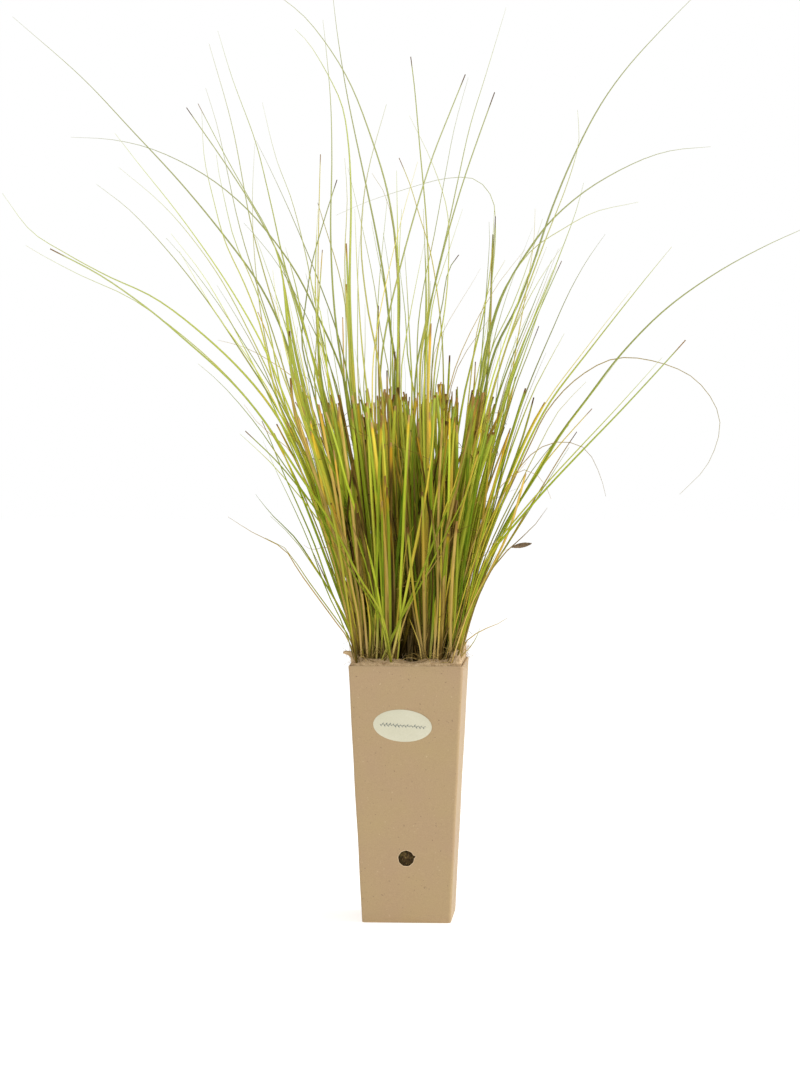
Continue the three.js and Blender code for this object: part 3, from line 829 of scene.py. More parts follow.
# %% How the felt's edge lies
FOLDS = [  # place round the mouth (x, y) and reach in mm, then fold length in mm and inward angle
    {"at": (-30, -44), "reach": 11, "length": 8.5, "angle": 58},
    {"at": (-12, -44), "reach": 9, "length": 10.0, "angle": 66},
    {"at": (6, -44), "reach": 9, "length": 9.0, "angle": 84},
    {"at": (24, -44), "reach": 10, "length": 8.5, "angle": 66},
    {"at": (38, -45), "reach": 4, "length": 7.5, "angle": 66},
    {"at": (46, -41), "reach": 3.4, "length": 11.5, "angle": 4},
    {"at": (-44, -36), "reach": 3.2, "length": 12.0, "angle": -84},
    {"at": (-44, 5), "reach": 22, "length": 7.0, "angle": 24},
    {"at": (44, -22), "reach": 13, "length": 12.0, "angle": 2},
    {"at": (44, 24), "reach": 20, "length": 11.0, "angle": -4},
    {"at": (-5, 44), "reach": 26, "length": 8.5, "angle": 18},
    {"at": (-40, 40), "reach": 10, "length": 8.0, "angle": 10},
]


def fold_at(x, y):
    """Fold length in metres and inward angle, a weighted mean of the nearby folds."""
    total, length, angle = 1e-6, 0.0, 0.0
    for fold in FOLDS:
        away = math.hypot(x / MM - fold["at"][0], y / MM - fold["at"][1]) / fold["reach"]
        weight = math.exp(-away * away)
        total += weight
        length += weight * fold["length"]
        angle += weight * fold["angle"]
    return length / total * MM, math.radians(angle / total)


front_fold = fold_at(0, FOLDS[1]["at"][1] * MM)
print(f"at the middle of the front the felt folds by {math.degrees(front_fold[1]):.0f} degrees")

# %% The felt sheet
FELT_ROWS, FOLD_ROWS = 22, 9
FELT_CORNER, FELT_PIECES = 0.055, 44   # radius as a share of the side, and pieces a side
FELT_PLAY = 0.35 * MM            # between the card and the felt
FELT_BREAK = HEIGHT - 2.5 * MM   # where the fold starts
FOLD_STRETCH = 1.35
FELT_CRUMPLE = 0.7 * MM
FELT_WAVE = 1.1 * MM


def felt_section(unit, face):
    """Points up one face of the felt over one place of the mouth; face is 0 outside, 1 inside."""
    outside = side_at(FELT_BREAK) / 2 - BOARD - FELT_PLAY
    heading = Vector((unit.x, unit.y, 0))
    length, angle = fold_at(unit.x * MOUTH, unit.y * MOUTH)
    offset = face * LINER_THICK
    section = []
    for row in range(FELT_ROWS + 1):
        z = LINER_BOTTOM + (FELT_BREAK - LINER_BOTTOM) * row / FELT_ROWS
        inset = side_at(z) / 2 - BOARD - FELT_PLAY - offset
        section.append(heading * 2 * inset + Vector((0, 0, z)))
    in_run = rise = 0.0
    for row in range(1, FOLD_ROWS + 1):
        share = row / FOLD_ROWS
        bend = angle * (min(1, share * 1.6) ** 1.2 if angle > 0 else min(1, share * 1.3) ** 4)
        step = length * FOLD_STRETCH / FOLD_ROWS
        in_run += step * math.sin(bend)
        rise += step * math.cos(bend)
        thin = offset * (1 - 0.35 * share ** 3)
        x, y = unit.x * MOUTH, unit.y * MOUTH
        crumple = FELT_CRUMPLE * share * wobble(x, y, row * 1.5 * MM, 130, 2)
        wave = FELT_WAVE * share * wobble(x, y, 0, 75, 9)
        inset = outside - in_run - thin * math.cos(bend) + crumple
        section.append(heading * 2 * inset + Vector((0, 0, FELT_BREAK + rise - thin * math.sin(bend) + wave)))
    return section


felt_ring = rounded_square(1, FELT_CORNER, FELT_PIECES, 6)
columns = []
for unit in felt_ring:
    outer, inner = felt_section(unit, 0), felt_section(unit, 1)
    columns.append(outer + list(reversed(inner)))
felt_rings = [[column[row] for column in columns] for row in range(len(columns[0]))]
felt_points, felt_faces = skin(felt_rings, wrap=True)
felt_mesh = new_mesh("felt", felt_points, felt_faces, tan_felt)
smooth_shade(felt_mesh, 60)
felt = finish_piece("felt_liner", felt_mesh, "felt", "liner")

# %% [markdown]
# ## Geometry Nodes, second use: loose fibres
# Felt is a tangle, and its cut edge is hairy. A tree spreads points over the part of the felt
# that shows, bends a short curve on each, gives the curve a three-sided section, and drops
# the felt itself from the result. Density, length and thickness are inputs.

# %% The fibre tree
def fibre_tree():
    """Short bent hairs on a surface; density is per square metre, length and thickness in metres."""
    tree, source, target = start_geometry_tree(
        "loose fibres", Material=("Material", None), Density=("Float", 90000.0),
        Length=("Float", 6 * MM), Thickness=("Float", 0.09 * MM), Seed=("Int", 3))
    spread = add_node(tree, "GeometryNodeDistributePointsOnFaces",
                      {"Mesh": source["Geometry"], "Density": source["Density"], "Seed": source["Seed"]})
    bow = add_node(tree, "GeometryNodeCurveQuadraticBezier", {
        "Resolution": 4, "Start": (0, 0, -0.1), "Middle": (0.35, 0.1, 0.5), "End": (1.0, 0.25, 0.25)})
    radius = maths(tree, "DIVIDE", source["Thickness"], source["Length"])
    section = add_node(tree, "GeometryNodeCurvePrimitiveCircle", {"Resolution": 3, "Radius": radius})
    hair = add_node(tree, "GeometryNodeCurveToMesh",
                    {"Curve": bow.outputs[0], "Profile Curve": section.outputs[0], "Fill Caps": True})
    tumble = add_node(tree, "FunctionNodeRandomValue", {
        0: (-0.9, -0.9, 0.0), 1: (0.9, 0.9, 2 * math.pi), "Seed": 11}, data_type="FLOAT_VECTOR")
    turned = add_node(tree, "FunctionNodeRotateRotation",
                      {"Rotation": spread.outputs["Rotation"], "Rotate By": tumble.outputs[0]},
                      rotation_space="LOCAL")
    stretch = add_node(tree, "FunctionNodeRandomValue", {2: 0.35, 3: 1.3, "Seed": 5}, data_type="FLOAT")
    size = maths(tree, "MULTIPLY", stretch.outputs[1], source["Length"])
    placed = add_node(tree, "GeometryNodeInstanceOnPoints",
                      {"Points": spread.outputs["Points"], "Instance": hair.outputs[0],
                       "Rotation": turned.outputs[0], "Scale": size})
    end_geometry_tree(tree, source, target, placed.outputs[0])
    return tree


hairs = fibre_tree()
print("fibre tree:", len(hairs.nodes), "nodes")

# %% Fibres on the felt's visible edge
HAIRY_FROM = HEIGHT - 1.5 * MM
hairy_faces = [face for face in felt_faces if min(felt_points[i].z for i in face) > HAIRY_FROM]
hairy_base = new_mesh("hairy edge", felt_points, hairy_faces)
fibre_mesh = grow(hairs, hairy_base, Material=tan_felt)
fibres = finish_piece("felt_fibres", fibre_mesh, "felt")
print("fibres:", len(fibre_mesh.polygons), "faces")

# %% [markdown]
# ## Leaves: the finish
# One material serves every leaf, because the leaves differ in age and not in kind. `age` runs
# from 0, deep green, through yellow-green, gold and straw to 1, dead brown. The other numbers
# on a leaf's points say how far the point is from the foot and the tip, how long the scorched
# end and the golden stretch below it are, how bleached the leaf is, how bright it is as a
# whole, how deep inside the tuft it stands, which darkens its foot with painted shade, and
# where across the blade the point lies, which draws the veins and a painted shade along the
# margins. The distance from the foot also brightens the upper leaf with painted light. One
# material for each kind of leaf would be simpler to read, but a leaf that is green below and
# brown above needs them blended anyway.

# %% Leaf finish
AGE_COLOURS = [(0.0, srgb(82, 104, 18)), (0.14, srgb(116, 136, 26)), (0.28, srgb(153, 164, 43)),
               (0.4, srgb(179, 183, 60)), (0.5, srgb(196, 180, 62)), (0.6, srgb(198, 166, 58)),
               (0.72, srgb(188, 160, 84)), (0.84, srgb(140, 116, 50)), (0.93, srgb(92, 74, 26)),
               (1.0, srgb(64, 50, 14))]


def leaf_material():
    """Every leaf's finish: its age's colour, then patches, tip, foot, veins, and painted light and shade."""
    made, tree, shader = start_material("sedge leaf", 0.5, 0.03)
    across, from_foot, to_tip, tone, inner = (
        attribute(tree, name) for name in ("across", "from_foot", "to_tip", "tone", "inner"))

    def times(first, second):
        return maths(tree, "MULTIPLY", first, second)

    def line(value, slope, start):
        return maths(tree, "MULTIPLY_ADD", value, slope, start)

    def tip_share(name):
        """Distance from the tip as a share of the length that is stored under the name."""
        return maths(tree, "DIVIDE", to_tip, maths(tree, "MAXIMUM", attribute(tree, name), 1e-5))

    # long streaks, which let one strip of a blade look older than the next
    streak_place = add_node(tree, "ShaderNodeCombineXYZ", {
        "X": line(tone, 91.0, times(across, 1.6)), "Y": times(from_foot, 60.0), "Z": times(tone, 37.0)})
    streaks = speckle(tree, streak_place.outputs[0], 1.0, 4, 0.65)
    drift = times(maths(tree, "SUBTRACT", streaks, 0.5), 0.42)
    age = maths(tree, "ADD", attribute(tree, "age"), drift, clamp=True)
    colour = ramp(tree, age, AGE_COLOURS)

    # yellow patches where the leaf is green, and bleaching towards the tip
    patch_place = add_node(tree, "ShaderNodeCombineXYZ", {
        "X": times(tone, 173.0), "Y": times(from_foot, 24.0)})
    patches = fade(tree, speckle(tree, patch_place.outputs[0], 1.0, 1), 0.6, 0.72)
    patches = times(patches, fade(tree, age, 0.62, 0.5))
    colour = blend(tree, times(patches, 0.4), colour, srgb(212, 182, 58))
    colour = blend(tree, attribute(tree, "bleach"), colour, srgb(190, 194, 130))

    # the tip turns golden, and is scorched where it was cut
    golden = fade(tree, tip_share("golden"), 1.3, 0.4)
    colour = blend(tree, times(golden, 0.6), colour, srgb(200, 150, 34))
    burnt = fade(tree, maths(tree, "ADD", tip_share("burnt"), drift), 1.3, 0.5)
    scorch = ramp(tree, maths(tree, "ADD", tone, drift), [
        (0.2, srgb(98, 72, 30)), (0.5, srgb(138, 104, 50)), (0.9, srgb(164, 134, 84))])
    colour = blend(tree, burnt, colour, scorch)

    # the foot is pale on some leaves and stained by the soil on others; the pale foot is held back where
    # painted shade darkens the foot
    soaked = maths(tree, "FRACT", times(tone, 7.3))
    paled = times(fade(tree, from_foot, 0.05, 0.015), fade(tree, soaked, 0.6, 0.4))
    paled = times(paled, line(inner, -0.8, 1.0))
    colour = blend(tree, times(paled, 0.7), colour, srgb(192, 164, 104))
    stain = times(fade(tree, from_foot, 0.036, 0.014), fade(tree, soaked, 0.35, 0.75))
    colour = blend(tree, times(stain, 0.85), colour, srgb(78, 58, 28))

    # light and dark: veins, the leaf's own tone, painted shade along the margins and low in the tuft, and
    # painted light higher up the leaf
    veins = maths(tree, "SINE", times(across, 20.0))
    shade = line(veins, 0.07, line(tone, 0.9, 0.54))
    # painted shade: each blade is darker towards its two margins
    margin = line(maths(tree, "POWER", maths(tree, "ABSOLUTE", across), 3.0), -0.36, 1.0)
    # painted shade: the foot of a leaf that stands deep in the tuft is darkened
    painted_foot_shade = line(times(inner, fade(tree, from_foot, 0.19, 0.04)), -0.46, 1.0)
    # painted light: a leaf is brighter from 120 to 200 mm above its foot upwards
    lit = line(fade(tree, from_foot, 0.12, 0.2), 0.2, 1.0)
    shade = times(times(shade, times(margin, painted_foot_shade)), lit)
    grey = add_node(tree, "ShaderNodeCombineColor", {0: shade, 1: shade, 2: shade}).outputs[0]
    paint(tree, shader, blend(tree, 1.0, colour, grey, "MULTIPLY"))
    feed(tree, shader.inputs["Roughness"], line(streaks, 0.25, 0.4))
    bump(tree, shader, veins, 0.00006, 0.35)
    return made


sedge_leaf = leaf_material()
print("leaf finish:", len(sedge_leaf.node_tree.nodes), "nodes")

# %% [markdown]
# ## Geometry Nodes, third use: blades
# A leaf follows a path, so a path is all that Python makes: a row of points with the numbers
# above. The tree turns the row into a curve, aims the curve's normal along the stored `side`
# direction, and sweeps a closed channelled section along it, as wide as `half_width` says. The
# section has only four corners, because hundreds of leaves are made from it.

# %% The blade tree
def blade_tree():
    """Sweeps a channelled section along rows of points; the channel is as deep as its input says."""
    tree, source, target = start_geometry_tree(
        "sedge blades", Material=("Material", None), Channel=("Float", 0.5), Thickness=("Float", 0.17),
        Crease=("Float", math.radians(52)))
    curve = add_node(tree, "GeometryNodeMeshToCurve", {"Mesh": source["Geometry"]}).outputs[0]
    aimed = add_node(tree, "GeometryNodeSetCurveNormal",
                     {"Curve": curve, "Normal": named(tree, "side", "FLOAT_VECTOR")}, mode="FREE").outputs[0]
    margin = source["Channel"]
    corners = {}
    for x, y in ((-1.0, margin), (0.0, 0.0), (1.0, margin), (0.0, source["Thickness"])):
        corner = add_node(tree, "ShaderNodeCombineXYZ", {"X": x, "Y": y})
        corners[f"Point {len(corners) + 1}"] = corner.outputs[0]
    section = add_node(tree, "GeometryNodeCurvePrimitiveQuadrilateral", corners, mode="POINTS").outputs[0]
    position = add_node(tree, "GeometryNodeInputPosition").outputs[0]
    place = add_node(tree, "ShaderNodeSeparateXYZ", {0: position})
    marked = add_node(tree, "GeometryNodeStoreNamedAttribute",
                      {"Geometry": section, "Name": "across", "Value": place.outputs["X"]}).outputs[0]
    swept = add_node(tree, "GeometryNodeCurveToMesh",
                     {"Curve": aimed, "Profile Curve": marked, "Scale": named(tree, "half_width"),
                      "Fill Caps": True}).outputs[0]
    bend = add_node(tree, "GeometryNodeInputMeshEdgeAngle").outputs[0]
    soft = maths(tree, "LESS_THAN", bend, source["Crease"])
    faces = add_node(tree, "GeometryNodeSetShadeSmooth",
                     {"Geometry": swept, "Shade Smooth": True}, domain="FACE")
    edges = add_node(tree, "GeometryNodeSetShadeSmooth",
                     {"Geometry": faces.outputs[0], "Shade Smooth": soft}, domain="EDGE")
    end_geometry_tree(tree, source, target, edges.outputs[0])
    return tree


blades = blade_tree()
print("blade tree:", len(blades.nodes), "nodes")

# %% [markdown]
# ## Leaves: from a few points to a blade
# A leaf is told by a few points, a width, a finish and a kind of tip. The points are joined by
# a smooth curve and spaced evenly. The finish gives the age at the foot, low on the leaf, at
# its middle and at its tip, and says how bleached it gets. A "fine" tip is pointed, a "strap"
# is broad almost to its end, "sheared" is a long leaf that narrows to a scorched end, and
# "cut" is a leaf of the tuft, cut off flat.

# %% Finishes of leaves
FINISHES = {  # age at foot, low, middle and tip, then bleach towards the tip
    "deep": ((0.3, 0.1, 0.05, 0.2), 0.6),
    "fresh": ((0.42, 0.29, 0.26, 0.21), 0.7),
    "lime": ((0.6, 0.42, 0.36, 0.27), 0.55),
    "sunny": ((0.6, 0.38, 0.34, 0.36), 0.4),
    "olive": ((0.5, 0.28, 0.26, 0.36), 0.95),
    "pale": ((0.5, 0.42, 0.42, 0.48), 0.9),
    "gilded": ((0.5, 0.34, 0.54, 0.5), 0.4),
    "gold": ((0.74, 0.56, 0.5, 0.58), 0.6),
    "amber": ((0.82, 0.72, 0.64, 0.44), 0.1),
    "khaki": ((0.86, 0.72, 0.6, 0.32), 0.2),
    "straw": ((0.86, 0.76, 0.72, 0.78), 0.1),
    "brown": ((0.94, 0.88, 0.86, 0.9), 0.0),
    "dark": ((1.0, 0.96, 0.95, 0.98), 0.0),
    "rust": ((0.84, 0.76, 0.74, 0.8), 0.3),
    "half_dead": ((0.9, 0.84, 0.56, 0.32), 0.1),
    "thread": ((0.8, 0.84, 0.9, 0.9), 0.0),
    "rootlet": ((0.85, 0.85, 0.85, 0.85), 0.0),
}
print(len(FINISHES), "finishes of leaves")

# %% From a few points to a row of them
def smooth_path(points, count):
    """Evenly spaced points on a smooth curve through the given points."""
    knots = np.array([tuple(p) for p in points], float)
    gaps = np.maximum(np.linalg.norm(np.diff(knots, axis=0), axis=1), 1e-6) ** 0.5
    times = np.concatenate([[0], np.cumsum(gaps)])
    slopes = np.gradient(knots, times, axis=0)
    fine = np.linspace(0, times[-1], 14 * len(knots))
    i = np.clip(np.searchsorted(times, fine, side="right") - 1, 0, len(knots) - 2)
    step = (times[i + 1] - times[i])[:, None]
    s = (fine - times[i])[:, None] / step
    curve = ((2 * s**3 - 3 * s**2 + 1) * knots[i] + (s**3 - 2 * s**2 + s) * step * slopes[i]
             + (3 * s**2 - 2 * s**3) * knots[i + 1] + (s**3 - s**2) * step * slopes[i + 1])
    run = np.concatenate([[0], np.cumsum(np.linalg.norm(np.diff(curve, axis=0), axis=1))])
    even = np.linspace(0, run[-1], count)
    return np.stack([np.interp(even, run, curve[:, axis]) for axis in range(3)], axis=1), even


SPACING = 16 * MM        # of the points along a leaf
NEEDLE = 0.1 * MM        # half-width of a pointed tip
BLEACH_FROM = 160 * MM   # above the foot, and more and more over the next stretch
BLEACH_OVER = 260 * MM
FULL_WIDTH_AT = 120 * MM


def blade_widths(half, share, tip, dice):
    """Half-widths along a blade, and the lengths of its golden and of its scorched end."""
    if tip == "cut":
        widths = half * (1 - 0.15 * share ** 1.5)
        widths[-1] *= 0.75
        golden = dice.choice([0, 0, 0, dice.uniform(8, 26), dice.uniform(12, 36)]) * MM
        burnt = dice.choice([dice.uniform(1, 5), dice.uniform(2, 8), dice.uniform(6, 14)]) * MM
        return widths, golden, burnt
    if tip == "sheared":
        return half * (1 - 0.68 * share) + NEEDLE, 0.0, dice.uniform(7, 14) * MM
    sharpness = {"strap": 5, "fine": 1.9}[tip]
    return half * (1 - share ** sharpness) + NEEDLE, 0.0, 0.0


def make_leaf(points, width, finish, tip, dice, spacing=SPACING, twist=None, above=0.0, tone=None, inner=0.0):
    """One leaf's rows of numbers, ready for the blade tree.

    twist is the turn of its foot, above an extra height that its colours count from, tone its
    brightness, and inner how much painted shade darkens its foot, from 0 to 1. What isn't given
    is drawn or plain.
    """
    length = sum((Vector(b) - Vector(a)).length for a, b in zip(points, points[1:]))
    count = max(8, round(length / spacing) + 1)
    path, run = smooth_path(points, count)
    share = run / run[-1]
    tangent = np.gradient(path, axis=0)
    tangent /= np.linalg.norm(tangent, axis=1)[:, None]
    side = np.cross([0.0, 1.0, 0.0], tangent)
    side /= np.maximum(np.linalg.norm(side, axis=1)[:, None], 1e-6)
    turn = (dice.uniform(-0.7, 0.7) if twist is None else twist) + dice.uniform(-0.8, 0.8) * share
    side = side * np.cos(turn)[:, None] + np.cross(tangent, side) * np.sin(turn)[:, None]
    half = width / 2 * (0.58 + 0.42 * np.clip(run / FULL_WIDTH_AT, 0, 1))
    widths, golden, burnt = blade_widths(half, share, tip, dice)
    ages, bleach = FINISHES[finish]
    places = (0, dice.uniform(0.04, 0.32), dice.uniform(0.4, 0.75), 1)
    aged = np.interp(share, places, ages) + dice.gauss(0, 0.035)
    leaf = {"path": path, "side": side, "half_width": widths, "age": np.clip(aged, 0, 1),
            "bleach": bleach * np.clip((run + above - BLEACH_FROM) / BLEACH_OVER, 0, 1),
            "from_foot": run + above, "to_tip": run[-1] - run}
    same_all_over = {"tone": dice.random() if tone is None else tone,
                     "golden": golden, "burnt": burnt, "inner": inner}
    leaf.update({key: np.full(count, value) for key, value in same_all_over.items()})
    return leaf


print(f"a point every {SPACING / MM:.0f} mm, full width from {FULL_WIDTH_AT / MM:.0f} mm above the foot")

# %% From rows of points to a piece
LEAF_NUMBERS = ("half_width", "age", "bleach", "from_foot", "to_tip", "tone", "golden", "burnt", "inner")


def leaf_piece(name, leaves, slot, *nodes):
    """Joins leaves into one set of rows, grows the blades, and finishes the piece."""
    points = np.concatenate([leaf["path"] for leaf in leaves])
    edges, start = [], 0
    for leaf in leaves:
        edges += [(i, i + 1) for i in range(start, start + len(leaf["path"]) - 1)]
        start += len(leaf["path"])
    rows = bpy.data.meshes.new(name)
    rows.from_pydata(points.tolist(), edges, [])
    store(rows, "side", np.concatenate([leaf["side"] for leaf in leaves]), "FLOAT_VECTOR")
    for key in LEAF_NUMBERS:
        store(rows, key, np.concatenate([leaf[key] for leaf in leaves]))
    return finish_piece(name, grow(blades, rows, Material=sedge_leaf), slot, *nodes)


print(len(LEAF_NUMBERS), "numbers on each point of a leaf")

# %% [markdown]
# ## The way the tuft opens
# The clumps stand close at the soil and fan out as they rise. The frame was built with one
# rule for that, a factor on the distance from the axis that grows with height, and the same
# rule is used here, so that each piece stays with its own frame node. An outline is drawn on
# the middle plane, and then moved to its depth along the camera's line of sight, so that it
# looks the same from there at any depth.

# %% The fan rule and the line of sight
SOIL, CUT = 201, 412   # levels in mm: the foot of every outline, and the cut
CUT_LEVEL = CUT * MM
SPREAD_UNIT = 209 * MM
OPENING = {"first": 1.05, "second": 0.6, "beyond": 2.25}
STATION = Vector((194, -2994, 472)) * MM   # the camera's place, to the millimetre
FOOT_LEVEL = SOIL_TOP - 3 * MM             # leaves start a little below the soil


def opening(rise):
    """How many times further from the axis a leaf stands at a height over its foot."""
    share = rise / SPREAD_UNIT
    if share <= 1:
        return 1 + OPENING["first"] * share + OPENING["second"] * share * share
    return 1 + OPENING["first"] + OPENING["second"] + OPENING["beyond"] * (share - 1)


def at_depth(outline, lane):
    """Carries an outline in mm on the middle plane to its depth, along the line of sight."""
    flat = [Vector((x, 0, z)) * MM for x, z in outline]
    rise, placed = 0.0, []
    for number, point in enumerate(flat):
        if number:
            last = flat[number - 1]
            climbing = point.z <= CUT_LEVEL and point.z > last.z
            rise += point.z - last.z if climbing else (point - last).length
        y = lane * opening(rise)
        share = (y - STATION.y) / -STATION.y
        placed.append(Vector((STATION.x + (point.x - STATION.x) * share, y,
                              STATION.z + (point.z - STATION.z) * share)))
    placed[0] = Vector((flat[0].x, placed[0].y, FOOT_LEVEL))
    return placed


print("the tuft opens", round(opening(SPREAD_UNIT), 2), "times at the cut level")

# %% [markdown]
# ## The long leaves
# Thirty-one groups of long leaves rise from the tuft or arch out of it. Each group has a lane,
# its depth in the pot, and each leaf is a finish, a kind of tip, a width and an outline from
# foot to tip, in millimetres. Random arcs would be shorter to write, but these are the leaves
# that make this plant. The outlines are the frame's own, so a leaf stands where its node does.

